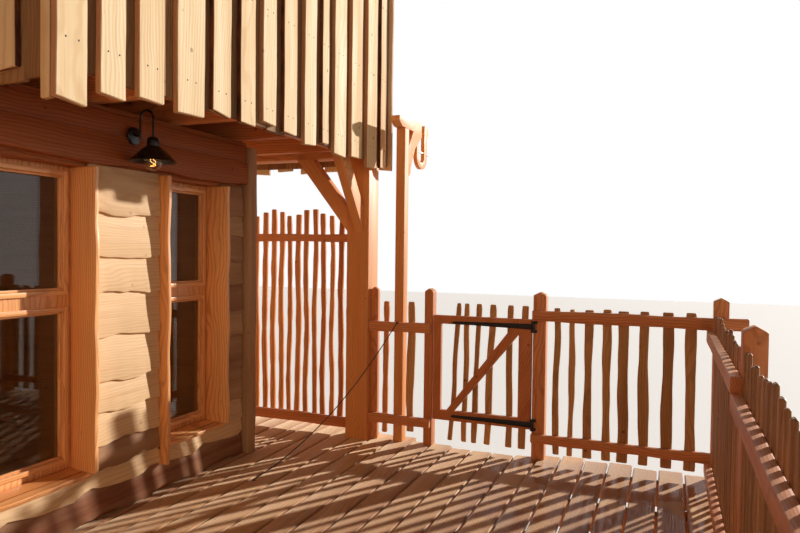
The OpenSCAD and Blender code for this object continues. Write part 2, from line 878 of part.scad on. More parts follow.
module back_railing() {
    color("chocolate") {
        bar(gate_right, plan_x / 2, fence_y - rail_t, fence_y, rail_top_z - rail_deep, rail_top_z);
        bar(gate_right, x_edge + 20, fence_y - rail_t, fence_y, deck_h + 125, deck_h + 190);
        for (i = [0 : len(back_pales) - 1])
            translate([gate_right + back_pales[i][0], fence_y + pale_t, deck_h + 50])
            pale(back_pales[i][1], rail_h - 32 + 8 * sin(i * 140), i, pale_t);
    }
}

side_rail_h = 1005;
side_drop = 65;
side_pitch = 103;

// One bay of the right railing, between the posts at y0 and y1
module side_bay(y0, y1, top, seed) {
    x = x_edge - rail_t;
    n = floor((y1 - y0) / side_pitch);
    bar(x, x_edge, y0 - post_s, y1, deck_h + top - 75, deck_h + top);
    bar(x, x_edge, y0 - post_s, y1, deck_h + 70, deck_h + 140);
    for (i = [0 : n - 1])
        translate([x_edge, y0 + (y1 - y0) * (i + 0.5) / n, deck_h - 30])
        rotate([0, 0, 90]) pale(72, side_rail_h + 135 + 20 * sin((i + seed) * 77), i + seed, pale_t);
}

module right_railing() {
    color("chocolate")
    for (i = [0 : 2]) {
        y1 = i == 0 ? fence_y - rail_t : side_posts_y[i - 1];
        side_bay(side_posts_y[i] + post_s, y1, side_rail_h - (i == 0 ? 0 : side_drop), i * 31);
    }
}

module near_railing() {
    y = side_posts_y[2];
    x0 = x_wall + corner_t;
    n = floor((x_edge - rail_t - x0) / 150);
    color("chocolate") {
        bar(x0, x_edge - rail_t, y + 20, y + 20 + rail_t, rail_top_z - rail_deep, rail_top_z);
        bar(x0, x_edge - rail_t, y + 20, y + 20 + rail_t, deck_h + 125, deck_h + 190);
        for (i = [0 : n - 1])
            translate([x0 + 75 + i * 150, y + 20, deck_h + 40])
            pale(64, rail_h + 12 * sin(i * 140), i, pale_t);
    }
}

gate_x0 = gate_left + gate_play;
gate_x1 = gate_right - hinge_play;
gate_low = deck_h + 210;
gate_high = deck_h + 1012;
stile_w = 60;
hinge_stile_w = 95;
low_rail_h = 75;
top_rail_h = 64;
gate_t = 45;

module gate_frame() {
    y0 = gate_front;
    y1 = gate_front + gate_t;
    ax = gate_x0 + stile_w;
    bx = gate_x1 - hinge_stile_w;
    z0 = gate_low + low_rail_h;
    z1 = gate_high - top_rail_h;
    color("chocolate") {
        bar(gate_x0, ax, y0, y1, gate_low, gate_high);
        bar(bx, gate_x1, y0, y1, gate_low, gate_high);
        bar(ax, bx, y0, y1, gate_low, z0);
        bar(ax, bx, y0, y1, z1, gate_high);
        plate_xz([
            [ax + 47, z0], [ax + 110, z0], [bx, z1 - 50], [bx, z1], [bx - 52, z1]
        ], y0, y1);
    }
}

// Pales of the gate lean a little: the middle of each foot and head from the free stile's edge,
// and the width
leaning_pales = [
    [129, 188, 40], [240, 251, 44], [314, 344, 44], [416, 451, 54], [582, 584, 50], [682, 696, 52]
];

module gate_pales() {
    y = gate_front + gate_t + pale_t;
    low = deck_h + 45;
    high = deck_h + 1108;
    color("peru")
    for (p = leaning_pales)
        plate_xz([
            [gate_x0 + p[0] - p[2] / 2, low], [gate_x0 + p[0] + p[2] / 2, low],
            [gate_x0 + (p[0] + p[1]) / 2 + p[2] / 2 + 4, (low + high) / 2],
            [gate_x0 + p[1] + p[2] / 2, high], [gate_x0 + p[1] - p[2] / 2, high],
            [gate_x0 + (p[0] + p[1]) / 2 - p[2] / 2 + 4, (low + high) / 2]
        ], y - pale_t, y);
}

strap_z = [gate_low + 38, gate_high - 50];

module gate_straps() {
    tip = gate_x0 + 142;
    color("black")
    for (z = strap_z) {
        difference() {
            union() {
                plate_xz([
                    [tip, z], [tip + 25, z + 10], [pin_x, z + strap_w / 2],
                    [pin_x, z - strap_w / 2], [tip + 25, z - 10]
                ], gate_front - strap_t, gate_front);
                translate([pin_x, pin_y, z - strap_w / 2]) cylinder(h = strap_w, r = knuckle_r, $fn = 32);
            }
            translate([pin_x, pin_y, z - strap_w]) cylinder(h = 2 * strap_w, r = pin_r + 0.08, $fn = 32);
        }
    }
}

// The fixed half of a hinge: a leaf on the post, a barrel above and one below the strap's own,
// and the pin through all three
leaf_h = 84;
barrel_gap = 1.5;

module gate_pintles() {
    color("black")
    for (z = strap_z) {
        translate([pin_x, pin_y, z - leaf_h / 2]) cylinder(h = leaf_h, r = pin_r, $fn = 32);
        for (half = [[z - leaf_h / 2, z - strap_w / 2 - barrel_gap], [z + strap_w / 2 + barrel_gap, z + leaf_h / 2]]) {
            translate([pin_x, pin_y, half[0]]) cylinder(h = half[1] - half[0], r = knuckle_r, $fn = 32);
            bar(pin_x - 4, pin_x + 26, pin_y + 4, fence_y, half[0], half[1]);
        }
    }
}

// The arm rises a little towards the block, and a curved brace carries it
arm_low = deck_h + hoist_h - 110;
arm_top = [deck_h + hoist_h - 36, deck_h + hoist_h - 18];

module hoist_post() {
    color("peru")
    bar(hoist_x, hoist_x + hoist_w, fence_y, fence_y + hoist_d, deck_h - post_down, arm_low);
}

module hoist_arm() {
    y0 = fence_y - 114;
    y1 = fence_y + hoist_reach;
    back = fence_y + hoist_d;
    color("peru") {
        plate_yz([[y0, arm_top[0]], [y0, arm_low + 35], [y0 + 60, arm_low], [y1, arm_low], [y1, arm_top[1]]],
                 hoist_x, hoist_x + hoist_w);
        plate_yz([
            [back, arm_low - 130], [back + 98, arm_low + 2], [y1, arm_low + 2], [y1, arm_low - 20],
            [y1 - 27, arm_low - 40], [y1 - 88, arm_low - 85], [y1 - 145, arm_low - 130],
            [back + 84, arm_low - 220], [back + 44, arm_low - 296], [back + 39, arm_low - 342],
            [back, arm_low - 370]
        ], hoist_x + 1, hoist_x + hoist_w);
    }
}

// The block is a U-shaped plank against the arm's end, open at the top
block_t = 32;
block_w = 242;
near_leg = 40;
far_leg = 63;
bow_z = -275;
bow_h = 100;
slot_w = block_w - near_leg - far_leg;

// The lower half of an ellipse, from left to right
function bow(x, a, b) = [for (k = [180 : 12 : 360]) [x + a * cos(k), bow_z + b * sin(k)]];

module hoist_block() {
    y0 = fence_y + hoist_reach;
    color("tan")
    difference() {
        translate([hoist_x, y0, deck_h + hoist_h])
        rotate([90, 0, 90])
        linear_extrude(block_t)
        polygon(concat(
            [[near_leg, -16], [0, -16]],
            bow(block_w / 2, block_w / 2, bow_h),
            [[block_w, -100], [block_w + 28, -65], [block_w + 30, -22], [block_w + 18, -6], [block_w - far_leg, 0]],
            [for (p = [15 : -1 : 0]) bow(near_leg + slot_w / 2, slot_w / 2, 46)[p]]
        ));
        translate([hoist_x + block_t / 2, y0 - 1, bolt_z]) rotate([-90, 0, 0])
            cylinder(h = block_w + 2, r = bolt_r + 0.2, $fn = 32);
    }
}

// The steel bolt that the hoist rope runs over, across the slot of the block
bolt_r = 7;
bolt_z = deck_h + hoist_h - 232;

module hoist_bolt() {
    y0 = fence_y + hoist_reach;
    color("silver")
    translate([hoist_x + block_t / 2, y0, bolt_z]) rotate([-90, 0, 0]) {
        translate([0, 0, -8]) cylinder(h = block_w + 70, r = bolt_r, $fn = 32);
        translate([0, 0, block_w + 42]) cylinder(h = 14, r = 12, $fn = 32);
    }
}

// The hoist rope: from its knot on the fence rail down to the gap between two deck boards
rope_r = 4;
rope_sides = 8;
rope_steps = 15;
rope_sag = 0.57;
rope_from = [x_wall + 963, fence_y - 56, deck_h + 940];
rope_to = [x_wall + 444, fence_y - 1191, deck_h + 8];

// The rope's line in plan is straight. Its height falls by a curve that eases towards the deck.
function rope_at(s) = let (p = rope_from + s * (rope_to - rope_from))
    [p[0], p[1], rope_to[2] + (rope_from[2] - rope_to[2]) * (1 - s) * (1 - rope_sag * s)];
rope_route = [for (i = [0 : rope_steps]) rope_at(i / rope_steps)];
rope_run = rope_to - rope_from;
rope_side = [-rope_run[1], rope_run[0], 0] / norm([rope_run[0], rope_run[1]]);
rope_up = cross(rope_side, rope_run) / norm(rope_run);

function rope_ring(p) = [
    for (k = [0 : rope_sides - 1])
        p + rope_r * (cos(k * 360 / rope_sides) * rope_side + sin(k * 360 / rope_sides) * rope_up)
];

module hoist_rope() {
    n = len(rope_route);
    m = rope_sides;
    color("black")
    polyhedron(
        points = [for (p = rope_route) each rope_ring(p)],
        faces = concat(
            [[for (k = [0 : m - 1]) k]],
            [for (i = [0 : n - 2], k = [0 : m - 1])
                [i * m + k, (i + 1) * m + k, (i + 1) * m + (k + 1) % m, i * m + (k + 1) % m]],
            [[for (k = [m - 1 : -1 : 0]) (n - 1) * m + k]]
        )
    );
}

// A knot on the fence rail and one on the deck hold the rope's two ends
knot_r = 11;

module rope_knots() {
    color("black") {
        translate([rope_from[0], fence_y - rail_t - knot_r, rope_from[2]]) rotate([0, 90, 0])
            cylinder(h = 24, r = knot_r, $fn = 24, center = true);
        translate([rope_to[0] - 3, rope_to[1] - 5, deck_h]) cylinder(h = 22, r = knot_r, $fn = 24);
    }
}

stilts();
stilt_braces();
main_beams();
floor_joists();
edge_joist();
terrace_boards();
gallery_boards();
cabin_floor();
terrace_wall();
far_wall();
near_wall();
back_wall();
corner_boards();
terrace_header();
terrace_siding();
outer_siding();
window_jambs();
window_sills();
window_frames();
window_glass();
entry_door();
wall_lamp();
lamp_bulb();
heavy_posts();
knee_braces();
cross_beam();
edge_beam();
upper_joists();
upper_floor();
upper_side_walls();
gable_walls();
side_cladding();
gable_cladding();
gable_windows();
roof_rafters();
roof_covering();
ridge_cap();
gallery_lattice();
railing_posts();
short_fence();
back_railing();
right_railing();
near_railing();
gate_frame();
gate_pales();
gate_straps();
gate_pintles();
hoist_post();
hoist_arm();
hoist_block();
hoist_bolt();
hoist_rope();
rope_knots();
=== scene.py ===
# %% [markdown]
# # A tree house on stilts, dressed in larch
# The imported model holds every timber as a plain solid. This lesson lays the looks over it:
# waney boards, debarked sticks, planed posts, a lamp, a rope and the light of a studio.
# All lengths are metres, Z is up, and the ground is at zero.

import math

import bmesh
import bpy
import numpy as np
from mathutils import Matrix, Vector


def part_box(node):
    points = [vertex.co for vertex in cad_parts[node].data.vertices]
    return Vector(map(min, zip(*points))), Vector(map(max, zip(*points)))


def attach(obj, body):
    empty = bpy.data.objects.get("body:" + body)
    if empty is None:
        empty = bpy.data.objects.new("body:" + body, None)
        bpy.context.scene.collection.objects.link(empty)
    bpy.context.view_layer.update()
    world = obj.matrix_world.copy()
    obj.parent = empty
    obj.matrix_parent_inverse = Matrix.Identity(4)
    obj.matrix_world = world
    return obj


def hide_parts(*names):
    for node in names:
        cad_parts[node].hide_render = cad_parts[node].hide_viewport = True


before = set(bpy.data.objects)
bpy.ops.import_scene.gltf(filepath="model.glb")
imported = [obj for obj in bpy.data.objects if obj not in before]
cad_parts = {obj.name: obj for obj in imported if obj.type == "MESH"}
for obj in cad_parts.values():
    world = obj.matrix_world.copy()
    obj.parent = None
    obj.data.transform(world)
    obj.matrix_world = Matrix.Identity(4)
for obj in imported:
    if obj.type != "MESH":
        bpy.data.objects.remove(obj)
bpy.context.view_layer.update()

# %% [markdown]
# The levels and lines of the house come from the solids themselves, so that every piece made
# here sits on what carries it.

# %% Levels and lines
deck_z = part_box("terrace_boards")[1][2]
wall_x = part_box("terrace_wall")[1][0]
back_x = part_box("back_wall")[0][0]
near_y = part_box("terrace_wall")[0][1]
far_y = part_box("terrace_wall")[1][1]
edge_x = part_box("edge_joist")[1][0]
fence_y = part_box("edge_joist")[1][1]
over_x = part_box("edge_beam")[1][0]
over_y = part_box("edge_beam")[1][1]
soffit_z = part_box("edge_beam")[0][2]
floor_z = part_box("upper_floor")[1][2]
X, Y, up = np.eye(3)
print("deck", deck_z, "wall", wall_x, "fence", fence_y, "soffit", soffit_z)

# %% [markdown]
# The camera stands on the deck at eye height, 1.5 m above the boards, looks along the cabin wall
# to the gate, and has the photograph's mild wide angle. Its roll is small but real: the whole
# picture leans by two thirds of a degree.

# %% Camera
camera_data = bpy.data.cameras.new("camera")
camera_data.lens = 29.67
camera_data.sensor_width = 36.0
camera_data.clip_start = 0.05
camera_data.clip_end = 400.0
camera = bpy.data.objects.new("camera", camera_data)
bpy.context.scene.collection.objects.link(camera)
bpy.context.scene.camera = camera


def aimed(place, yaw, pitch, roll):
    """A camera's matrix: forward turns left of +Y by yaw and up by pitch, then the picture's
    right and up turn about it by roll."""
    forward = Vector((-math.sin(yaw) * math.cos(pitch), math.cos(yaw) * math.cos(pitch), math.sin(pitch)))
    level = Vector((math.cos(yaw), math.sin(yaw), 0.0))
    above = level.cross(forward)
    right = math.cos(roll) * level + math.sin(roll) * above
    upward = math.cos(roll) * above - math.sin(roll) * level
    return Matrix.Translation(place) @ Matrix((right, upward, -forward)).transposed().to_4x4()


eye = (wall_x + 2.9, far_y - 4.1, deck_z + 1.5)
camera.matrix_world = aimed(eye, math.radians(22.07), math.radians(-1.36), math.radians(0.68))
print("camera at", tuple(round(v, 3) for v in camera.matrix_world.translation))

# %% [markdown]
# Every new piece is a mesh made from whole arrays of points. One function puts them in: it takes
# the points, the faces as rows of corner numbers, and any number of named values for the points,
# which the materials read later.

# %% Arrays into a mesh


def spots(x, y, z):
    """Points (n, 3) from their coordinates, each a number or a row of n numbers."""
    return np.stack(np.broadcast_arrays(*map(np.atleast_1d, (x, y, z))), 1).astype(float)


def note(mesh, values):
    """Named values for a mesh's points: one number each, or three."""
    for key, data in values.items():
        flat = np.asarray(data, np.float32)
        kind, field = ("FLOAT_VECTOR", "vector") if flat.ndim == 2 else ("FLOAT", "value")
        mesh.attributes.new(key, kind, "POINT").data.foreach_set(field, flat.ravel())


def shown(name, mesh, crease=35.0):
    """An object of a mesh, shaded smooth across edges flatter than the crease, in degrees."""
    mesh.polygons.foreach_set("use_smooth", np.ones(len(mesh.polygons), bool))
    mesh.set_sharp_from_angle(angle=math.radians(crease))
    piece = bpy.data.objects.new(name, mesh)
    bpy.context.scene.collection.objects.link(piece)
    return piece


def put(name, points, faces, values=None, crease=35.0):
    """A mesh object from points (n, 3) and a list of face arrays, each (count, corners)."""
    mesh = bpy.data.meshes.new(name)
    sizes = np.concatenate([np.full(len(f), f.shape[1]) for f in faces])
    corners = np.concatenate([f.ravel() for f in faces]).astype(np.int32)
    mesh.vertices.add(len(points))
    mesh.vertices.foreach_set("co", np.asarray(points, np.float32).ravel())
    mesh.loops.add(len(corners))
    mesh.loops.foreach_set("vertex_index", corners)
    mesh.polygons.add(len(sizes))
    mesh.polygons.foreach_set("loop_start", (np.cumsum(sizes) - sizes).astype(np.int32))
    mesh.update(calc_edges=True)
    note(mesh, values or {})
    return shown(name, mesh, crease)


def hand_in(piece, finish, nodes=(), body="house"):
    """Gives a piece its finish and its body, and hides the solids it stands for."""
    piece.data.materials.clear()
    piece.data.materials.append(finish)
    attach(piece, body)
    if nodes:
        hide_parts(*nodes)
    print(piece.name, len(piece.data.polygons), "faces")
    return piece


# %% [markdown]
# The hoist rope comes before the timber, because it is the one thing that is free to move. It is
# a black braided cord of 8 mm, knotted to the fence's top rail. It runs to a gap in the deck, 1.2 m
# away in plan, and sags on its way. It could be a curve with a round bevel. A tube of arrays was
# chosen, because the braid can then be pressed into its radius.

# %% The rope's route
rope_radius = 0.004
sag = 0.57
braid_ridges, braid_lay, braid_depth = 8, 0.022, 0.12
rope_from = np.array([wall_x + 0.963, fence_y - 0.056, deck_z + 0.940])
rope_to = np.array([wall_x + 0.444, fence_y - 1.191, deck_z + 0.008])


def sagging(s):
    """Points of a slack line for s from 0 to 1: straight in plan, with its height above the lower end
    falling as (1 - s)(1 - sag s)."""
    line = rope_from + s[:, None] * (rope_to - rope_from)
    line[:, 2] = rope_to[2] + (rope_from[2] - rope_to[2]) * (1 - s) * (1 - sag * s)
    return line


rope_route = sagging(np.linspace(0, 1, 60))


def spread(route, count):
    """The same line at count points, evenly spaced by its length."""
    run = np.concatenate([[0], np.cumsum(np.linalg.norm(np.diff(route, axis=0), axis=1))])
    at = np.linspace(0, run[-1], count)
    return np.stack([np.interp(at, run, route[:, k]) for k in range(3)], axis=1), at


def tube(name, route, radius, sides, braided=False):
    """A closed tube about a route: each ring is a circle across the line. In a braid its radius is
    radius (1 - depth times the absolute sine of half the ridges' angle), and the ridges turn once in
    every lay of length."""
    line, at = route
    ahead = np.gradient(line, axis=0)
    ahead /= np.linalg.norm(ahead, axis=1, keepdims=True)
    # the first ring's start is across an axis that the line never runs along
    lean = up if abs(ahead[:, 2]).max() < 0.97 else Y
    if abs(ahead @ lean).max() > 0.985:
        lean = X
    one = np.cross(ahead, lean)
    one /= np.linalg.norm(one, axis=1, keepdims=True)
    two = np.cross(ahead, one)
    angle = np.linspace(0, 2 * np.pi, sides, endpoint=False)
    swell = np.ones((len(line), sides))
    if braided:
        turn = angle[None] - 2 * np.pi * at[:, None] / braid_lay
        swell -= braid_depth * np.abs(np.sin(0.5 * braid_ridges * turn))
    points = line[:, None] + (radius * swell)[..., None] * (
        np.cos(angle)[None, :, None] * one[:, None] + np.sin(angle)[None, :, None] * two[:, None])
    i, k = np.meshgrid(np.arange(len(line) - 1), np.arange(sides), indexing="ij")
    a, b = i * sides + k, i * sides + (k + 1) % sides
    first = np.arange(sides)[None]
    faces = [np.stack([a, b, b + sides, a + sides], -1).reshape(-1, 4), first[:, ::-1],
             (len(line) - 1) * sides + first]
    return put(name, points.reshape(-1, 3), faces)


rope_line = spread(rope_route, 360)
hoist_rope = tube("rope", rope_line, rope_radius, 12, braided=True)

# %% [markdown]
# Nearly everything else is timber, and each timber is the same idea: a cross-section with worn
# corners carried along a line, with edges that wander where the saw left the log's own outline.
# One function makes a whole family at once, as arrays over the members, their stations and the
# points round the section. It also leaves each point's place in its own board, across, through
# and along, so that the grain follows every timber whichever way it lies.

# %% Families of timbers
dice = np.random.default_rng(20)
end_ease = 0.005


def rows(value, count, stations):
    """Any number, column or grid as a full grid of members by stations."""
    value = np.asarray(value, float)
    if value.ndim == 1 and len(value) == count:
        value = value[:, None]
    return np.broadcast_to(value, (count, stations)).copy()


def wander(count, stations, length, swing, wave=0.5, rough=0.35, seed=1):
    """Wavy edges: three sines with random phases along each member, the longest of them one wave
    long and swing high, the others shorter and lower by the factor rough."""
    own = np.random.default_rng(seed)
    s = np.linspace(0, 1, stations)[None] * np.reshape(length, (-1, 1))
    total = np.zeros((count, stations))
    for part in range(3):
        phase = own.uniform(0, 2 * np.pi, (count, 1))
        stretch = own.uniform(0.75, 1.3, (count, 1))
        total += rough ** part * np.sin(2 * np.pi * s * (2.1 ** part) / (wave * stretch) + phase)
    return swing * total / 1.3


def timbers(name, start, end, face, left, right, front, back, corner=0.004, steps=2, stations=3,
            bend=None, seed=1, cut=0.0, foot=0.0, bark=0.0, tone=None):
    """A family of timbers in one mesh. Each runs from start to end; face points out of its show
    side. At every station the section reaches left and right across it, front and back through
    it, and its four corners are arcs of radius corner in so many steps. bend moves the centre line
    across and through, foot and cut are the slopes across it of the near and the far end, and bark
    is 1 for the timbers that keep their bark. tone is each timber's place between its finish's pale
    and deep tones, drawn at random where it isn't given."""
    start, end = np.atleast_2d(start).astype(float), np.atleast_2d(end).astype(float)
    n = max(len(start), len(end))
    start, end = np.broadcast_to(start, (n, 3)), np.broadcast_to(end, (n, 3))
    length = np.linalg.norm(end - start, axis=1)
    ahead = (end - start) / length[:, None]
    out = np.broadcast_to(np.atleast_2d(face).astype(float), (n, 3))
    out = out - ahead * np.sum(out * ahead, axis=1, keepdims=True)
    out /= np.linalg.norm(out, axis=1, keepdims=True)
    across = np.cross(out, ahead)
    m = stations + 2
    own = np.random.default_rng(seed)
    left, right, front, back = (rows(v, n, stations) for v in (left, right, front, back))
    corner = np.minimum(corner, 0.45 * np.minimum((left + right).min(1), (front + back).min(1)))[:, None]
    t = np.concatenate([[0.0], np.linspace(0, 1, stations), [1.0]])
    at = length[:, None] * t[None]
    worn = np.minimum(corner, end_ease)
    at[:, 1] = worn[:, 0]
    at[:, -2] = length - worn[:, 0]
    pad = np.concatenate([[0], np.arange(stations), [stations - 1]])
    left, right, front, back = (v[:, pad] for v in (left, right, front, back))
    inset = np.zeros((n, m))
    inset[:, [0, -1]] = worn * 0.8
    x, y, rim = [], [], []
    for quarter, (sx, sy) in enumerate([(1, 1), (-1, 1), (-1, -1), (1, -1)]):
        wide = right if sx > 0 else left
        deep = front if sy > 0 else back
        for a in np.linspace(0, np.pi / 2, steps + 1) + quarter * np.pi / 2:
            x.append(sx * (wide - corner - inset) + corner * np.cos(a))
            y.append(sy * (deep - corner - inset) + corner * np.sin(a))
            rim.append(np.full((n, m), abs(np.cos(a))) * (0.5 + 0.5 * np.reshape(bark, (-1, 1))))
    x, y, rim = np.stack(x, -1), np.stack(y, -1), np.stack(rim, -1)
    move = np.zeros((n, m, 2)) if bend is None else np.asarray(bend)[:, pad]
    share = (at / length[:, None])[:, :, None]
    far = at[:, :, None] + (np.reshape(cut, (-1, 1, 1)) * share
                            + np.reshape(foot, (-1, 1, 1)) * (1 - share)) * x
    points = (start[:, None, None] + far[..., None] * ahead[:, None, None]
              + (x + move[..., 0][..., None])[..., None] * across[:, None, None]
              + (y + move[..., 1][..., None])[..., None] * out[:, None, None])
    ring = x.shape[-1]
    shift = own.uniform(0, 40, (n, 1, 1, 3))
    grain = np.stack([x, y, np.broadcast_to(at[:, :, None], x.shape)], -1) + shift
    drawn = own.uniform(0, 1, (n, 1, 1))
    tint = np.broadcast_to(drawn if tone is None else np.reshape(tone, (n, 1, 1)), x.shape)
    i, j, k = np.meshgrid(np.arange(n), np.arange(m - 1), np.arange(ring), indexing="ij")
    a = (i * m + j) * ring + k
    b = (i * m + j) * ring + (k + 1) % ring
    sides = np.stack([a, b, b + ring, a + ring], -1).reshape(-1, 4)
    first = np.arange(n)[:, None] * m * ring + np.arange(ring)[None]
    faces = [sides, first[:, ::-1], first + (m - 1) * ring]
    # rim is a half on the narrow sides, and 1 where they keep their bark
    values = {"grain": grain.reshape(-1, 3), "tint": tint.ravel(), "rim": rim.ravel()}
    return put(name, points.reshape(-1, 3), faces, values)


# %% [markdown]
# Plain sawn and planed timbers already have their right shape in the solids: posts, beams, joists,
# rafters and braces. A copy of the solid's mesh is merged, its flat faces are joined again, and a
# small bevel takes the place of the plane's last stroke along every edge. Then each loose timber
# in it finds its own long direction, so that its grain runs the right way too.

# %% Planed copies of the solids


def islands(count, edges):
    """Which connected island each point is in: every point takes its neighbours' lowest number
    until nothing changes."""
    label = np.arange(count)
    while True:
        before = label.copy()
        low = np.minimum(label[edges[:, 0]], label[edges[:, 1]])
        np.minimum.at(label, edges[:, 0], low)
        np.minimum.at(label, edges[:, 1], low)
        label = label[label]
        if np.array_equal(before, label):
            return np.unique(label, return_inverse=True)[1]


def grain_of(points, label, seed):
    """Each point's place in its own timber: the directions are the main axes of the island's
    scatter, the longest last, and every island is shifted at random."""
    own = np.random.default_rng(seed)
    n = label.max() + 1
    share = np.bincount(label, minlength=n)[:, None]
    low, high = np.full((n, 3), 1e9), np.full((n, 3), -1e9)
    np.minimum.at(low, label, points)
    np.maximum.at(high, label, points)
    middle = (low + high) / 2
    loose = points - middle[label]
    scatter = np.zeros((n, 3, 3))
    np.add.at(scatter, label, loose[:, :, None] * loose[:, None, :])
    axes = np.linalg.eigh(scatter / share[..., None])[1]
    order = np.einsum("pi,pij->pj", loose, axes[label])
    place = np.stack([order[:, 1], order[:, 0], order[:, 2]], 1)
    return place + own.uniform(0, 40, (n, 3))[label], own.uniform(0, 1, n)[label]


def planed(node, edge, seed):
    """A copy of a solid with its edges rounded by edge, and the grain laid along each timber."""
    grid = bmesh.new()
    grid.from_mesh(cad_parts[node].data)
    bmesh.ops.remove_doubles(grid, verts=grid.verts, dist=2e-5)
    bmesh.ops.dissolve_limit(grid, angle_limit=math.radians(1.0), verts=grid.verts, edges=grid.edges)
    sharp = [e for e in grid.edges if len(e.link_faces) == 2 and e.calc_face_angle(0) > math.radians(25)]
    if edge:
        bmesh.ops.bevel(grid, geom=sharp, offset=edge, offset_type="OFFSET", segments=2, profile=0.6,
                        affect="EDGES", clamp_overlap=True)
    mesh = bpy.data.meshes.new("planed_" + node)
    grid.to_mesh(mesh)
    grid.free()
    points = np.empty(len(mesh.vertices) * 3, np.float32)
    mesh.vertices.foreach_get("co", points)
    points = points.reshape(-1, 3).astype(float)
    edges = np.empty(len(mesh.edges) * 2, np.int32)
    mesh.edges.foreach_get("vertices", edges)
    grain, tint = grain_of(points, islands(len(points), edges.reshape(-1, 2)), seed)
    note(mesh, {"grain": grain, "tint": tint})
    return shown("planed_" + node, mesh)


# %% [markdown]
# Larch is what such houses are built of: an orange-brown softwood with dark, narrow growth rings,
# a few small round knots, and bark that clings to a waney edge. Every finish here is that one
# wood, more or less oiled, weathered or wet. The rings are bands 8 to 20 mm apart round a pith
# outside the board, which is what makes the long flame figure, and a stretched noise gives the
# streaks. The narrow bands are drawn about twice as coarse as real ones, so that they show.

# %% The wood's node tree


def paint(code):
    """Linear red, green, blue and 1 from an sRGB hex code: each channel is ((c + 0.055) / 1.055)
    to the power 2.4, or c / 12.92 near black."""
    c = np.array([int(code[i:i + 2], 16) for i in (1, 3, 5)]) / 255
    line = np.where(c > 0.04045, ((c + 0.055) / 1.055) ** 2.4, c / 12.92)
    return (*map(float, line), 1.0)


def add(tree, kind, settings=None, inputs=None):
    """One node: its settings by name, and its inputs by name or number, each a value or a link."""
    node = tree.nodes.new(kind)
    for key, value in (settings or {}).items():
        setattr(node, key, value)
    for key, value in (inputs or {}).items():
        if isinstance(value, bpy.types.NodeSocket):
            tree.links.new(value, node.inputs[key])
        else:
            node.inputs[key].default_value = value
    return node


def hold(shader, values):
    """Sets the shader's own sockets to values that are the same all over the surface."""
    for key, value in values.items():
        shader.inputs[key].default_value = value


def fresh(name):
    """A new material and its node tree, emptied down to the shader and the output."""
    material = bpy.data.materials.new(name)
    material.use_nodes = True
    tree = material.node_tree
    shader = next(n for n in tree.nodes if n.type == "BSDF_PRINCIPLED")
    return material, tree, shader


def mixed(tree, factor, one, two, mode="MIX"):
    """The colour socket of a mix of two colours."""
    return add(tree, "ShaderNodeMix", {"data_type": "RGBA", "blend_type": mode, "clamp_factor": True},
               {0: factor, 6: one, 7: two}).outputs[2]


def maths(tree, operation, *values, clamp=False):
    """The result of a maths node."""
    node = add(tree, "ShaderNodeMath", {"operation": operation, "use_clamp": clamp}, dict(enumerate(values)))
    return node.outputs[0]


def stretched(tree, place, scale):
    """A place with each of its coordinates multiplied by its own scale."""
    return add(tree, "ShaderNodeMapping", None, {"Vector": place, "Scale": scale}).outputs[0]


def noise(tree, place, scale=1.0, detail=3.0, rough=0.5):
    """The outputs of a noise texture."""
    return add(tree, "ShaderNodeTexNoise", None,
               {"Vector": place, "Scale": scale, "Detail": detail, "Roughness": rough}).outputs


def ramp(tree, value, low, high, to_low=0.0, to_high=1.0):
    """A value taken from the range low to high to another range, with its ends held."""
    return add(tree, "ShaderNodeMapRange", {"clamp": True},
               {0: value, 1: low, 2: high, 3: to_low, 4: to_high}).outputs[0]


# %% [markdown]
# A board's grain comes from where it was sawn in the log. A picture of grain could be laid on each
# face, but it would stop at every edge. Here the colour is worked out in the board's own space, from
# the places that each timber carries, so that rings, streaks and knots run on over edges and ends.

# %% Larch


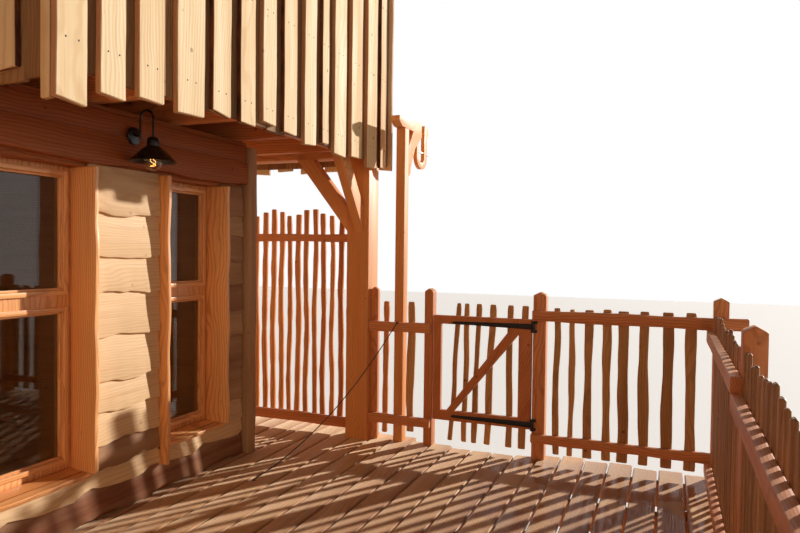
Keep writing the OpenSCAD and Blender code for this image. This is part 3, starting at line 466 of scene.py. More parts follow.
def larch(name, pale, deep, late, ring=9.0, streak=0.5, figure=0.5, knots=0.5, rough=(0.45, 0.7), bump=0.25,
          edge=None, coat=0.0, wet=None, tones=0.5, fuzz=0.0, shine=0.2):
    """Larch between two tones, pale and deep, chosen per timber, with latewood lines of the tone late.
    ring is the spacing of the bands in millimetres, figure and streak how strong they and the
    streaks are, edge the colour of the narrow sides, partly the sawn wood's own and partly painted
    shade, and wet from which X to which X the wood gets wetter, and its colour there. tones is how far
    apart the timbers are, fuzz the sheen of weathered fibres that stand up, and shine the polish: 0.5
    is a smooth varnish, and 0.2 dry wood, whose pores swallow most of the mirrored light."""
    material, tree, shader = fresh(name)
    grain = add(tree, "ShaderNodeAttribute", {"attribute_name": "grain"}).outputs["Vector"]
    tint = add(tree, "ShaderNodeAttribute", {"attribute_name": "tint"}).outputs["Fac"]
    # the pith lies 60 mm behind the board, and wanders by a centimetre or two along it
    drift = noise(tree, stretched(tree, grain, (3.0, 3.0, 1.3)))["Color"]
    lean = add(tree, "ShaderNodeVectorMath", {"operation": "MULTIPLY_ADD"},
               {0: drift, 1: (0.12, 0.12, 0.0), 2: grain}).outputs[0]
    # 20 radians of the bands' sine per unit: the scale gives one band in every ring millimetres
    bands = add(tree, "ShaderNodeTexWave",
                {"wave_type": "RINGS", "rings_direction": "Z", "wave_profile": "SIN"},
                {"Vector": stretched(tree, lean, (1.0, 1.0, 0.03)), "Scale": 2 * math.pi / 20 / (ring / 1000),
                 "Distortion": 1.2, "Detail": 2.0, "Detail Scale": 0.6}).outputs["Fac"]
    fibre = noise(tree, stretched(tree, grain, (90.0, 90.0, 2.2)), detail=4.0)["Fac"]
    cloud = noise(tree, stretched(tree, grain, (14.0, 14.0, 0.9)))["Fac"]
    own_tone = ramp(tree, tint, 0, 1, -0.25 - tones / 2, tones / 2 + 0.25)
    tone = maths(tree, "MULTIPLY_ADD", ramp(tree, cloud, 0.3, 0.7), streak, own_tone, clamp=True)
    colour = mixed(tree, tone, paint(pale), paint(deep))
    line = maths(tree, "MULTIPLY", ramp(tree, bands, 0.55, 0.98), figure)
    colour = mixed(tree, line, colour, paint(late))
    colour = mixed(tree, ramp(tree, fibre, 0.52, 0.75, 0.0, 0.30), colour, paint(late))
    # small round knots, 15 to 30 mm across, dark at the rim
    cells = add(tree, "ShaderNodeTexVoronoi", {"feature": "F1"},
                {"Vector": grain, "Scale": 6.0}).outputs["Distance"]
    eye = ramp(tree, cells, 0.05, 0.085, knots, 0.0)
    colour = mixed(tree, eye, colour, paint("#4A2412"))
    height = maths(tree, "MULTIPLY_ADD", fibre, 0.6, bands)
    roughness = ramp(tree, cloud, 0.3, 0.7, rough[0], rough[1])
    if edge is not None:
        rim = add(tree, "ShaderNodeAttribute", {"attribute_name": "rim"}).outputs["Fac"]
        # the narrow sides take the edge colour: partly their own, partly painted shade
        colour = mixed(tree, ramp(tree, rim, 0.15, 0.45, 0, 0.7), colour, paint(edge))
        flake = noise(tree, stretched(tree, grain, (30.0, 30.0, 7.0)), 1.0, 6.0, 0.65)["Fac"]
        bark = ramp(tree, rim, 0.6, 0.85)
        crust = mixed(tree, ramp(tree, flake, 0.35, 0.65), paint("#2A160E"), paint("#74452C"))
        colour = mixed(tree, bark, colour, crust)
        height = maths(tree, "MULTIPLY_ADD", flake, ramp(tree, bark, 0, 1, 0, 5.0), height)
    if wet is not None:
        place = add(tree, "ShaderNodeTexCoord").outputs["Object"]
        side = add(tree, "ShaderNodeSeparateXYZ", None, {0: place}).outputs["X"]
        share = maths(tree, "ADD", ramp(tree, side, wet[0], wet[1], -0.25, 0.12),
                      noise(tree, place, 2.3, 4.0)["Fac"])
        damp = ramp(tree, share, 0.45, 0.58)
        colour = mixed(tree, maths(tree, "MULTIPLY", damp, 0.75), colour, paint(wet[2]), "MULTIPLY")
        roughness = add(tree, "ShaderNodeMix", {"data_type": "FLOAT"},
                        {0: damp, 2: roughness, 3: 0.16}).outputs[0]
    tree.links.new(colour, shader.inputs["Base Color"])
    tree.links.new(roughness, shader.inputs["Roughness"])
    hold(shader, {"IOR": 1.5, "Specular IOR Level": shine, "Coat Weight": coat, "Coat Roughness": 0.35,
                  "Sheen Weight": fuzz, "Sheen Roughness": 0.4, "Sheen Tint": paint("#FFE6C4")})
    relief = add(tree, "ShaderNodeBump", None, {"Strength": bump, "Distance": 0.0012, "Height": height})
    tree.links.new(relief.outputs[0], shader.inputs["Normal"])
    return material

# %% [markdown]
# The finishes. In the low sun of the picture the same larch looks cream where it is freshly sawn
# and faces the light, orange where it is planed and oiled, and fox red on the rails. The deck has
# weathered to a mauve brown, and stands wet towards the open edge.

# %% Larch in its finishes
# the cover boards' narrow sides take the red brown edge colour, partly the sawn wood's own and partly painted
# shade, for the shade those sides stand in
cladding_larch = larch("sawn_larch_cladding", "#ECD6AE", "#DEBC8C", "#C08C58", ring=16, figure=0.25,
                       streak=0.45, knots=0.5, rough=(0.6, 0.8), bump=0.35, edge="#A8623A")
# the inner boards are darker than the cover boards: painted shade, for the shade in the gaps between the cover
# boards
inner_shaded_larch = larch("sawn_larch_inner_boards_painted_shade", "#A07A54", "#7E5C3E", "#5E4028", ring=16, figure=0.3, streak=0.5,
                    knots=0.4, rough=(0.65, 0.85), bump=0.35)
# the deep tone is a red brown, and on the boards beside the corner it is painted shade
siding_larch = larch("oiled_larch_siding", "#E8C89C", "#743A24", "#A87040", ring=15, figure=0.16, streak=0.25,
                     knots=0.25, rough=(0.5, 0.7), bump=0.2, tones=1.5)
# the header's finish is darker than the beams': painted shade, for the shade under the storey above
header_shaded_larch = larch("oiled_larch_header_painted_shade", "#B46A3A", "#924E26", "#602E14", ring=15, figure=0.4, knots=0.6,
                     rough=(0.45, 0.65), bump=0.3)
post_larch = larch("planed_larch_posts", "#E8A264", "#D08246", "#AC6430", ring=8, figure=0.3, streak=0.4,
                   knots=0.4, rough=(0.4, 0.6), bump=0.15)
beam_larch = larch("sawn_larch_beams", "#F0A468", "#CC7842", "#9C562C", ring=15, figure=0.4, knots=0.6,
                   rough=(0.55, 0.75), bump=0.35)
rail_larch = larch("oiled_larch_rails", "#DC9260", "#BC7042", "#94502C", ring=11, figure=0.35, knots=0.45,
                   rough=(0.4, 0.6), bump=0.25, fuzz=0.2)
stick_larch = larch("debarked_larch_sticks", "#E39A5C", "#C67840", "#9A5428", ring=20, figure=0.2, streak=0.6,
                    knots=0.7, rough=(0.4, 0.6), bump=0.4, fuzz=0.3)
pale_larch = larch("brushed_larch_pales", "#D6A26C", "#AA784C", "#7C5430", ring=14, figure=0.3, streak=0.6,
                   knots=0.6, rough=(0.45, 0.65), bump=0.3, fuzz=0.2)
# a darker copy of the pales' larch for the right railing, whose pales are seen from their shaded side: painted
# shade
shaded_larch = larch("brushed_larch_side_pales_painted_shade", "#AC7A50", "#865C3C", "#623F27", ring=14, figure=0.3,
                     streak=0.6, knots=0.6, rough=(0.45, 0.65), bump=0.3, fuzz=0.2)
# the frames' pale tones are raised: partly the varnished wood's own orange, partly painted light for the warm
# light thrown back into the shaded jambs
frame_larch = larch("varnished_larch_windows_painted_light", "#FABC7C", "#E29A58", "#B8743C", ring=12, figure=0.5, knots=0.1,
                    rough=(0.28, 0.4), bump=0.12, coat=0.25, shine=0.5)
deck_larch = larch("weathered_larch_deck", "#CFA274", "#A87250", "#6E4226", ring=13, figure=0.35, streak=0.6,
                   knots=0.5, rough=(0.4, 0.6), bump=0.3, wet=(0.9, 2.6, "#B8683A"), fuzz=1.0, shine=0.1)
roof_larch = larch("weathered_larch_roof", "#8A6A52", "#5F4636", "#453024", ring=14, figure=0.35, knots=0.4,
                   rough=(0.65, 0.85), bump=0.5)
lining_larch = larch("planed_larch_lining", "#DDAE76", "#BE8A54", "#9A683A", ring=14, figure=0.4, knots=0.5,
                     rough=(0.5, 0.7), bump=0.2)
print("larch finishes", len(bpy.data.materials))

# %% [markdown]
# The few other finishes: clear float glass in the windows, black enamel on the lamp, forged iron
# on the gate, zinc-plated steel for the bolt, nylon braid for the rope, and a glass bulb.

# %% Glass, iron, steel and braid


def plain(name, code, rough, grit, metal=0.0, bump=0.15):
    """An opaque finish of one colour with a fine noise, grit millimetres wide, in its roughness and
    relief."""
    material, tree, shader = fresh(name)
    hold(shader, {"Metallic": metal, "IOR": 1.5})
    grain = noise(tree, add(tree, "ShaderNodeTexCoord").outputs["Object"], 1000 / grit / 3)["Fac"]
    tree.links.new(mixed(tree, ramp(tree, grain, 0.3, 0.7, 0, 0.35), paint(code), (0.5, 0.45, 0.4, 1),
                         "MULTIPLY"),
                   shader.inputs["Base Color"])
    tree.links.new(ramp(tree, grain, 0.3, 0.7, rough - 0.08, rough + 0.08), shader.inputs["Roughness"])
    relief = add(tree, "ShaderNodeBump", None, {"Strength": bump, "Distance": 0.0006, "Height": grain})
    tree.links.new(relief.outputs[0], shader.inputs["Normal"])
    return material


def clear(name, code):
    """Clear glass: the shader's own transmission, with a faint tint."""
    material, _, shader = fresh(name)
    hold(shader, {"Base Color": paint(code), "Specular IOR Level": 0.25, "Transmission Weight": 1.0,
                  "Roughness": 0.0, "IOR": 1.45})
    return material


window_glass = clear("float_glass", "#DCCDBA")
lamp_enamel = plain("black_enamel", "#16130F", 0.32, 4)
forged_iron = plain("forged_iron", "#1B1713", 0.5, 5, metal=0.4, bump=0.4)
zinc_steel = plain("zinc_plated_steel", "#B4B4B0", 0.35, 3, metal=1.0)
rope_braid = plain("nylon_braid", "#1E1A18", 0.7, 2, bump=0.3)
bulb_clear = clear("bulb_glass", "#FFF4E0")
filament, _, glowing = fresh("warm_filament")
hold(glowing, {"Base Color": paint("#FFC070"), "Emission Color": paint("#FFC070"), "Emission Strength": 4.0})
print("other finishes ready")

# %% [markdown]
# A knot is the cord wound round itself. It could be a true overhand knot, but at this size only a
# lump with parallel turns shows, so each is a tight coil of two and a quarter turns.

# %% Hang the rope and tie its knots
hand_in(hoist_rope, rope_braid, ["hoist_rope"])
turns = np.linspace(0, 2 * np.pi * 2.25, 90)
coil_r, knot_r = 0.0062, 0.0042
round_x = spots(0.009 * turns / turns[-1] - 0.0045, coil_r * np.cos(turns), coil_r * np.sin(turns))
round_z = spots(coil_r * np.cos(turns), coil_r * np.sin(turns), 0.010 * turns / turns[-1] - 0.005)
top_knot = tube("knot_at_rail", spread(rope_route[0] + (0.002, 0.004, 0.0) + round_x, 160), knot_r, 10, True)
hand_in(top_knot, rope_braid, ["rope_knots"])
low_knot = tube("knot_at_deck", spread(rope_route[-1] - (0.003, 0.005, 0.009) + round_z, 160), knot_r, 10, True)
hand_in(low_knot, rope_braid)

# %% [markdown]
# The frame under the house is planed and sawn timber: round-edged stilts, diagonal braces, main
# beams and joists, and above the room the beams, joists and rafters. Their solids are right as
# they stand, so each is a planed copy.

# %% Stilts, beams, joists and rafters
# each solid with its finish, its slot and how far its edges are rounded
planed_pieces = [
    ("stilts", post_larch, "post_timber", 0.008), ("stilt_braces", post_larch, "post_timber", 0.005),
    ("main_beams", beam_larch, "frame_timber", 0.005), ("floor_joists", beam_larch, "frame_timber", 0.004),
    ("edge_joist", beam_larch, "frame_timber", 0.004), ("cabin_floor", lining_larch, "floor_boards", 0.0),
    ("heavy_posts", post_larch, "post_timber", 0.009), ("knee_braces", post_larch, "post_timber", 0.006),
    ("cross_beam", beam_larch, "frame_timber", 0.006), ("edge_beam", beam_larch, "frame_timber", 0.006),
    ("upper_joists", beam_larch, "frame_timber", 0.004), ("upper_floor", lining_larch, "floor_boards", 0.0),
    # the terrace wall's core shows only as a strip over the header, so it takes the header's dark finish:
    # painted shade
    ("roof_rafters", beam_larch, "frame_timber", 0.004), ("terrace_wall", header_shaded_larch, "wall_core", 0.0),
    ("far_wall", lining_larch, "wall_core", 0.0), ("near_wall", lining_larch, "wall_core", 0.0),
    ("back_wall", lining_larch, "wall_core", 0.0), ("upper_side_walls", lining_larch, "wall_core", 0.0),
    ("gable_walls", lining_larch, "wall_core", 0.0), ("window_frames", frame_larch, "window_timber", 0.004),
    ("gable_windows", frame_larch, "window_timber", 0.004), ("railing_posts", rail_larch, "rail_timber", 0.006),
    ("hoist_post", post_larch, "hoist_timber", 0.005), ("hoist_arm", post_larch, "hoist_timber", 0.006),
    ("hoist_block", post_larch, "hoist_timber", 0.005),
]
for number, (node, finish, slot, edge) in enumerate(planed_pieces):
    hand_in(planed(node, edge, number), finish, [node])
hand_in(planed("gate_frame", 0.005, 50), rail_larch, ["gate_frame"], "gate")
for node, body in (("gate_straps", "gate"), ("gate_pintles", "house")):
    hand_in(planed(node, 0.0012, 51), forged_iron, [node], body)
hand_in(planed("hoist_bolt", 0.0015, 52), zinc_steel, ["hoist_bolt"])
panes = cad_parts["window_glass"].data.materials
panes.clear()
panes.append(window_glass)

# %% [markdown]
# The deck boards are 155 mm wide and run towards the gate, with dark gaps of 9 mm. Their far ends
# were never cut to one line: in the picture one board passes the fence by 20 mm, and another by
# 270 mm. Each is a timber of its own, with edges so well rounded that they catch the low sun.

# %% Deck boards
pitch, gap, board_t, board_wave = 0.164, 0.009, 0.035, 0.0012


def deck(name, right, left, start, reach, node, seed):
    """Boards between their left and right edges, from start to their own reach, where each end is
    cut at its own slope of up to a tenth."""
    n = len(right)
    middle, half = (right + left) / 2, (right - left)[:, None] / 2 - board_wave
    edge = wander(n, 30, reach - start, board_wave, 0.9, seed=seed)
    piece = timbers(name, spots(middle, start, deck_z), spots(middle, reach, deck_z), up, half + edge,
                    half - edge[::-1], -0.0004, board_t - 0.0004, corner=0.010, steps=3, stations=30,
                    seed=seed, cut=np.random.default_rng(seed).uniform(-0.1, 0.1, n))
    hand_in(piece, deck_larch, [node])


number = np.arange(20)
inner_edges = (number + 1) * pitch - gap
# how far the boards of the terrace pass the fence line, from the open edge inwards, in millimetres
past = np.array([90, 120, 95, 150, 120, 170, 120, 50, 20, 20, 20, 70, 65, 160, 155, 200, 250, 270, 260, 275])
deck("deck_of_terrace", edge_x - number * pitch, np.maximum(wall_x, edge_x - inner_edges),
     near_y - 0.04, fence_y + past / 1000, "terrace_boards", 3)
deck("deck_of_gallery", wall_x - number * pitch - 0.006, np.maximum(back_x, wall_x - inner_edges),
     far_y + 0.001, fence_y + 0.260 + 0.018 * np.sin(np.radians((number + 20) * 97)), "gallery_boards", 4)

# %% [markdown]
# The cabin's walls are clad with lapped waney boards: each board's lower edge is the log's own
# outline, and it stands out over the one below. Under the windows the boards are broader and
# their waves are deeper. A board is a timber whose lower edge wanders by 8 to 20 mm.

# %% Lapped waney siding
jamb_t, jamb_out = 0.026, 0.092
sill_h, head_h, header_low = 0.290, 1.930, 1.950
wall_h = soffit_z - deck_z
hidden, leaning_out, corner_in = 0.035, 0.020, 0.070


def siding(name, spans, levels, origin, along, out, swing, seed, tones=()):
    """Rows of lapped boards: every span is a stretch (from, to) along the wall, and every pair of
    neighbouring levels is one board, whose top is hidden behind the next. The board leans out by
    20 mm from its hidden top to its free lower edge. tones are given for the first boards, some of
    them deep brown as painted shade."""
    boards = [(a, b, z0, min(z1 + hidden, steps[-1]))
              for (a, b), steps in zip(spans, levels) for z0, z1 in zip(steps, steps[1:])]
    a, b, z0, top = np.array(boards).T[..., None]
    middle, face = (z0 + top) / 2, out + leaning_out / (top - z0) * up
    starts, ends = (origin + s * along + middle * up + 0.019 * out for s in (a, b))
    length = np.linalg.norm(ends - starts, axis=1)
    n, m = len(starts), 44
    free = middle - z0 + wander(n, m, length, swing, 0.55, 0.45, seed=seed) - swing * 0.4
    # the section's right side points down when the boards run along the wall with the wall behind
    down = np.cross(face, ends - starts)[:, 2:] < 0
    tone = np.random.default_rng(seed).uniform(0.22, 0.42, n)
    tone[:len(tones)] = tones
    return timbers(name, starts, ends, face, np.where(down, top - middle, free),
                   np.where(down, free, top - middle),
                   0.009, 0.009, corner=0.005, stations=m, seed=seed, tone=tone)


# %% [markdown]
# On the terrace wall no two courses are equally high. The strip beside the corner and the pier
# between the windows follow the picture. Even rows could come from an array modifier, but they would
# look like a machine's, so the other courses vary by chance.

# %% Siding of the terrace wall
# the levels of the strip and of the pier
visible_levels = [[0.270, 0.400, 0.635, 0.885, 1.060, 1.245, 1.410, 1.590, 1.730, header_low],
                  [0.270, 0.405, 0.580, 0.745, 0.995, 1.240, 1.440, 1.680, header_low]]
# the boards beside the corner and a few others take the deep brown tone, which is painted shade for the shade
# they stand in
board_tones_with_painted_shade = [0.5, 0.7, 0.75, 0.65, 0.8, 0.7, 0.75, 0.65, 0.8, 0.8, 0.35, 0.3, 0.3, 0.25, 0.3, 0.3, 0.5]
# stretches along the wall, measured from the far corner: windows, the door, and what lies between
terrace_windows = [(0.309, 0.920), (1.444, 2.346), (3.780, 4.391)]
door_hole = (2.734, 3.586)
back_windows, near_window = [(0.915, 1.526), (3.175, 3.786)], (1.144, 2.046)


def even(low, high):
    """Levels about 205 mm apart, each moved by up to a fifth of that."""
    step = 0.205
    count = max(1, round((high - low) / step))
    levels = np.linspace(low, high, count + 1)
    levels[1:-1] += dice.uniform(-0.2, 0.2, count - 1) * step
    return list(levels)


def between(length, holes):
    """The stretches of a wall that its holes leave, up to the boards of its corners."""
    edges = [corner_in] + [v for hole in holes for v in hole] + [length - corner_in]
    return list(zip(edges[::2], edges[1::2]))


way = np.array([wall_x, far_y, deck_z]), -Y, X
terrace_siding = [
    siding("siding_of_terrace_wall", between(far_y - near_y, sorted(terrace_windows + [door_hole])),
           visible_levels + [even(sill_h, header_low) for _ in range(3)], *way, 0.011, 11, board_tones_with_painted_shade),
    siding("siding_under_windows", between(far_y - near_y, [door_hole]), [[0.006, 0.158, 0.286]] * 2, *way,
           0.020, 12, [0.85, 0.4, 0.85, 0.4])]
for piece in terrace_siding:
    hand_in(piece, siding_larch, ["terrace_siding"])


# %% [markdown]
# The other walls are clad alike, with short boards under and over their windows.

# %% Siding of the outer walls


def siding_round(name, corner, along, out, length, holes, seed):
    """The siding of a whole outer wall: full height between its windows, and short stretches under
    and over them."""
    spans = between(length, holes)
    levels = [even(0.006, wall_h - 0.006) for _ in spans]
    spans += [hole for hole in holes for _ in (0, 1)]
    levels += [pair for _ in holes for pair in (even(0.006, sill_h), even(head_h, wall_h - 0.006))]
    return siding(name, spans, levels, np.array([*corner, deck_z]), along, out, 0.008, seed)


outer_walls = [
    siding_round("siding_of_far_wall", (wall_x, far_y), -X, Y, wall_x - back_x, [], 13),
    siding_round("siding_of_near_wall", (wall_x, near_y), -X, -Y, wall_x - back_x, [near_window], 14),
    siding_round("siding_of_back_wall", (back_x, far_y), -Y, -X, far_y - near_y, back_windows, 15)]
for piece in outer_walls:
    hand_in(piece, siding_larch, ["outer_siding"])

# %% [markdown]
# Over the windows runs a header of two thick boards, in the shade of the storey above, and its
# darker finish is painted shade. The lower one keeps its waney edge. Broad boards cover the four
# corners, in the siding's deep brown, which is painted shade too.

# %% Header and corner boards
length = far_y - near_y - 2 * corner_in
header_wave = wander(2, 60, length, 0.010, 0.8, seed=21)
header_wave[1] = 0
low_z, seam_z, high_z = deck_z + 1.958, deck_z + 2.110, soffit_z - 0.002
middle = np.array([(low_z + seam_z + 0.012) / 2, (seam_z + high_z) / 2])
half = np.array([(seam_z + 0.012 - low_z) / 2, (high_z - seam_z) / 2])[:, None]
begin = spots(wall_x, near_y + corner_in, middle)
# the boards run along +Y and face +X, so their left side is the lower one
header = timbers("header", begin, begin + length * Y, X, half + header_wave, half, [[0.068], [0.055]], 0.0,
                 corner=0.007, stations=60, seed=22)
hand_in(header, header_shaded_larch, ["terrace_header"])

corner_start, corner_face, corner_sizes = [], [], []
for cx, sx in ((wall_x, 1), (back_x, -1)):
    for cy, sy in ((far_y, 1), (near_y, -1)):
        # a thick board on the long wall's side, and a thinner one round the corner
        corner_start += [(cx + sx * 0.040, cy - sy * 0.0175, deck_z),
                         (cx - sx * 0.035, cy + sy * 0.0175, deck_z)]
        corner_face += [sx * X, sy * Y]
        corner_sizes += [(0.0515, 0.039), (0.034, 0.0165)]
corner_start, corner_sizes = np.array(corner_start), np.array(corner_sizes)
half, deep = corner_sizes[:, :1], corner_sizes[:, 1:]
wave = wander(8, 40, wall_h, 0.005, 0.6, seed=23) * (half > 0.04)
# tone 0.7 takes the corner boards towards the siding's deep brown: painted shade
corners = timbers("corner_boards_worn", corner_start, corner_start + up * (wall_h - 0.001),
                  np.array(corner_face),
                  half - 0.004 + wave, half - 0.004 + wave[::-1], deep, deep, corner=0.006, stations=40,
                  seed=24, tone=np.full(8, 0.7))
hand_in(corners, siding_larch, ["corner_boards"])

# %% [markdown]
# A window of this house is a planed frame with a transom, set back behind two jamb boards that
# stand square to the wall. The jamb's free edge is waney and catches the light. The sill is a thin
# board that slopes out between them, flush with the siding. Two thin sashes lie on the frame, and
# beads hold the panes.

# %% Jambs and sills
# each opening: the low corner of its hole at the side where the run starts, its run, and outwards
openings = [(np.array([wall_x, far_y - b, deck_z]), X, b - a) for a, b in terrace_windows]
openings += [(np.array([back_x, far_y - a, deck_z]), -X, b - a) for a, b in back_windows]
openings += [(np.array([wall_x - near_window[1], near_y, deck_z]), -Y, near_window[1] - near_window[0])]
jambs, sills = [], []
for number, (place, out, width) in enumerate(openings):
    run = np.cross(up, out)
    for k, at in enumerate((jamb_t / 2, width - jamb_t / 2)):
        # the far jamb of the first window hangs below its sill, and reaches up to the header
        low, high = (0.170, head_h + 0.012) if number == k == 0 else (sill_h, head_h)
        jambs.append((place + run * at + up * low, place + run * at + up * high, run))
    sills.append((place + run * width + up * sill_h, place + up * sill_h, up + 0.2 * out))
door_y = far_y - door_hole[1]
for at in (door_y + jamb_t / 2, far_y - door_hole[0] - jamb_t / 2):
    jambs.append((np.array([wall_x, at, deck_z]), np.array([wall_x, at, deck_z + head_h]), Y))
start, end, face = (np.array(v) for v in zip(*jambs))
wave = wander(len(jambs), 36, head_h - sill_h, 0.006, 0.7, seed=31)
behind = np.full(len(jambs), 0.090)
behind[-2:] = 0.160  # the door's reach through the wall
jamb_piece = timbers("jambs", start, end, face, behind, jamb_out + wave, jamb_t / 2, jamb_t / 2, stations=36,
                     seed=32)
hand_in(jamb_piece, frame_larch, ["window_jambs"])
start, end, face = (np.array(v) for v in zip(*sills))
wave = wander(len(sills), 30, 0.9, 0.004, 0.5, seed=33)
sill_piece = timbers("sills", start - 0.014 * up, end - 0.014 * up, face, 0.086, 0.042 + wave, 0.012, 0.012,
                     corner=0.005, steps=3, stations=30, seed=34)
hand_in(sill_piece, frame_larch, ["window_sills"])

# %% [markdown]
# A sash is the thin rim on the frame, and a bead the strip that holds the pane in it. Both could be
# cut out of the frame. Four strips round each pane are simpler, and their grain turns with them.

# %% Sashes and beads
frame_w, transom_z, transom_h = 0.075, 1.212, 0.115
sashes, beads = [], []
for place, out, width in openings:
    run = np.cross(up, out)
    a, b = frame_w, width - frame_w
    for z0, z1 in ((sill_h + frame_w, transom_z - transom_h / 2),
                   (transom_z + transom_h / 2, head_h - frame_w * 0.7)):
        # sashes lie outside the pane's edge, and beads inside it
        for family, wide, depth in ((sashes, 0.026, -0.082), (beads, -0.012, -0.104)):
            base, h, beyond = place + depth * out, wide / 2, max(wide, 0) * up
            family += [(base + s * run + z0 * up - beyond, base + s * run + z1 * up + beyond, out)
                       for s in (a - h, b + h)]
            family += [(base + a * run + z * up, base + b * run + z * up, out) for z in (z0 - h, z1 + h)]
for name, family, half, deep in (("sashes", sashes, 0.0127, 0.0075), ("glazing_beads", beads, 0.006, 0.0095)):
    start, end, face = (np.array(v) for v in zip(*family))
    piece = timbers(name, start, end, face, half, half, deep, deep, corner=0.0025, stations=2, seed=35)
    hand_in(piece, frame_larch)

# %% [markdown]
# The entry door is out of the picture. It is what such a cabin has: a leaf of upright planks held
# by ledges, with a plain iron handle.

# %% Entry door
planks = 6
plank_w = (door_hole[1] - door_hole[0] - 2 * jamb_t) / planks
half = plank_w / 2 - 0.001
start = spots(wall_x - 0.085, door_y + jamb_t + plank_w * (np.arange(planks) + 0.5), deck_z + 0.012)
door_planks = timbers("door_planks", start, start + up * (head_h - 0.014), X, half, half, 0.024, 0.024, seed=41)
hand_in(door_planks, frame_larch, ["entry_door"])
ledge = spots(wall_x - 0.050, door_y + 0.06, deck_z + np.array([0.25, 1.05, 1.70]))
door_ledges = timbers("door_ledges", ledge, ledge + Y * (planks * plank_w - 0.07), X, 0.055, 0.055, 0.011,
                      0.011, seed=42)
hand_in(door_ledges, frame_larch)

# %% [markdown]
# The upper storey is clad board on board: an inner layer of plain boards, drawn darker as painted
# shade for the shade in the gaps, and on it thick cover boards with gaps of 5 to 9 cm. Their free
# edges show: some sawn, some still in bark, and their red brown is partly the wood's own and partly
# painted shade. No two lower ends reach the same line. Over the terrace the boards are those of the
# photograph, as far as the corner where the overhang ends, and the others come from the same range.

# %% Board-on-board cladding
clad_in, clad_t = 0.025, 0.055
half_span = (over_x - back_x) / 2
ridge_x = (over_x + back_x) / 2
roof_angle = math.radians(42)
slope = math.tan(roof_angle)
eave_z = floor_z + 1.750
top_z = eave_z + half_span * slope
gable_z = floor_z + 0.900
bay_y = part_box("edge_beam")[0][1]


def roof_line(x):
    """The underside of the roof: it falls from the ridge by the slope."""
    return top_z - np.abs(x - ridge_x) * slope


def level(z):
    """A flat upper line at z."""
    return lambda at: z + 0 * at


def row(begin, stop, low, seed):
    """Cover boards about 250 mm apart, in a row that starts and ends with a board: their starts,
    widths, lower ends, and 1 for the third of them that keeps its bark."""
    own = np.random.default_rng(seed)
    whole = stop - begin + 0.08  # the boards and as many gaps
    n = max(1, round(whole / 0.250))
    lefts = begin + whole / n * np.arange(n)
    widths = whole / n - own.uniform(0.070, 0.090, n)
    widths[-1] = stop - lefts[-1]
    return np.array([lefts, widths, low + own.uniform(-0.020, 0.020, n), own.uniform(0, 1, n) < 0.35])


def clad(name, place, reach, low, top, covers, seed, node):
    """Both layers of one stretch of wall. place is its corner, the way along it and the way out.
    The inner boards fill reach, from low up to the line top, and covers holds the cover boards'
    starts, widths, lower ends and bark. The cover boards wander more, and their feet are slanted."""
    corner, along, out = (np.asarray(v, float) for v in place)
    turn = np.sign(np.dot(np.cross(out, up), along))
    own = np.random.default_rng(seed)
    n = math.ceil((reach[1] - reach[0]) / 0.21)
    width = (reach[1] - reach[0]) / n
    inner = np.array([reach[0] + width * np.arange(n), np.full(n, width - 0.0005),
                      low + own.uniform(-0.012, 0.012, n), np.zeros(n)])
    for layer, boards, finish, swing, thick, back, drop in (
            ("inner", inner, inner_shaded_larch, 0.001, clad_in, 0.0, 0.012),
            ("cover", covers, cladding_larch, 0.0025, clad_t - clad_in, clad_in, 0.022)):
        lefts, widths, lows, bark = np.asarray(boards, float)
        n = len(lefts)
        a, b = top(lefts) - drop, top(lefts + widths) - drop
        base = corner + np.outer(lefts + widths / 2, along) + back * out
        sides = [widths[:, None] / 2 - swing * 0.5 + wander(n, 40, a - lows, swing, 0.9, 0.4, seed=seed + k)
                 for k in (0, 1)]
        slant = own.uniform(-0.12, 0.16, n) * (layer == "cover")
        piece = timbers(f"{name}_{layer}", base + np.outer(lows, up), base + np.outer((a + b) / 2, up), out,
                        *sides, thick, 0.0, steps=1, stations=40, seed=seed + (layer == "cover"),
                        cut=(b - a) / widths * turn, foot=slant * turn, bark=bark)
        hand_in(piece, finish, [node])


# %% [markdown]
# The bay over the terrace shows fourteen cover boards, each with its own place, width and lower end,
# which a random row would not match. The walls out of the picture have even rows of the same kind.

# %% Cladding of the side walls
# the cover boards of the picture, in millimetres: how far each one's near edge is from the far
# corner, its width, how far its lower end is above the line, and 1 for bark on its edges
gate_end = np.array([
    (220, 100, 15, 1), (470, 180, -5, 0), (740, 180, 35, 0), (1000, 180, 15, 0), (1170, 90, 65, 1),
    (1400, 150, 25, 0), (1640, 150, 55, 1), (1860, 140, 75, 0), (2070, 140, 35, 1), (2300, 150, 45, 1),
    (2560, 200, -5, 0), (2800, 160, 5, 0), (3010, 140, -25, 0), (3220, 150, -85, 0)]) / (1000, 1000, 1000, 1)
near_edge, width, above, bark = gate_end.T
clad_low, far_corner = soffit_z - 0.095, over_y + clad_in
bay = np.array([near_edge - width, width, clad_low + above, bark])
clad("cladding_of_bay", ((over_x, far_corner, 0), -Y, X), (0.002, far_corner - bay_y), clad_low + 0.050,
     level(eave_z - 0.030), bay, 61, "side_cladding")
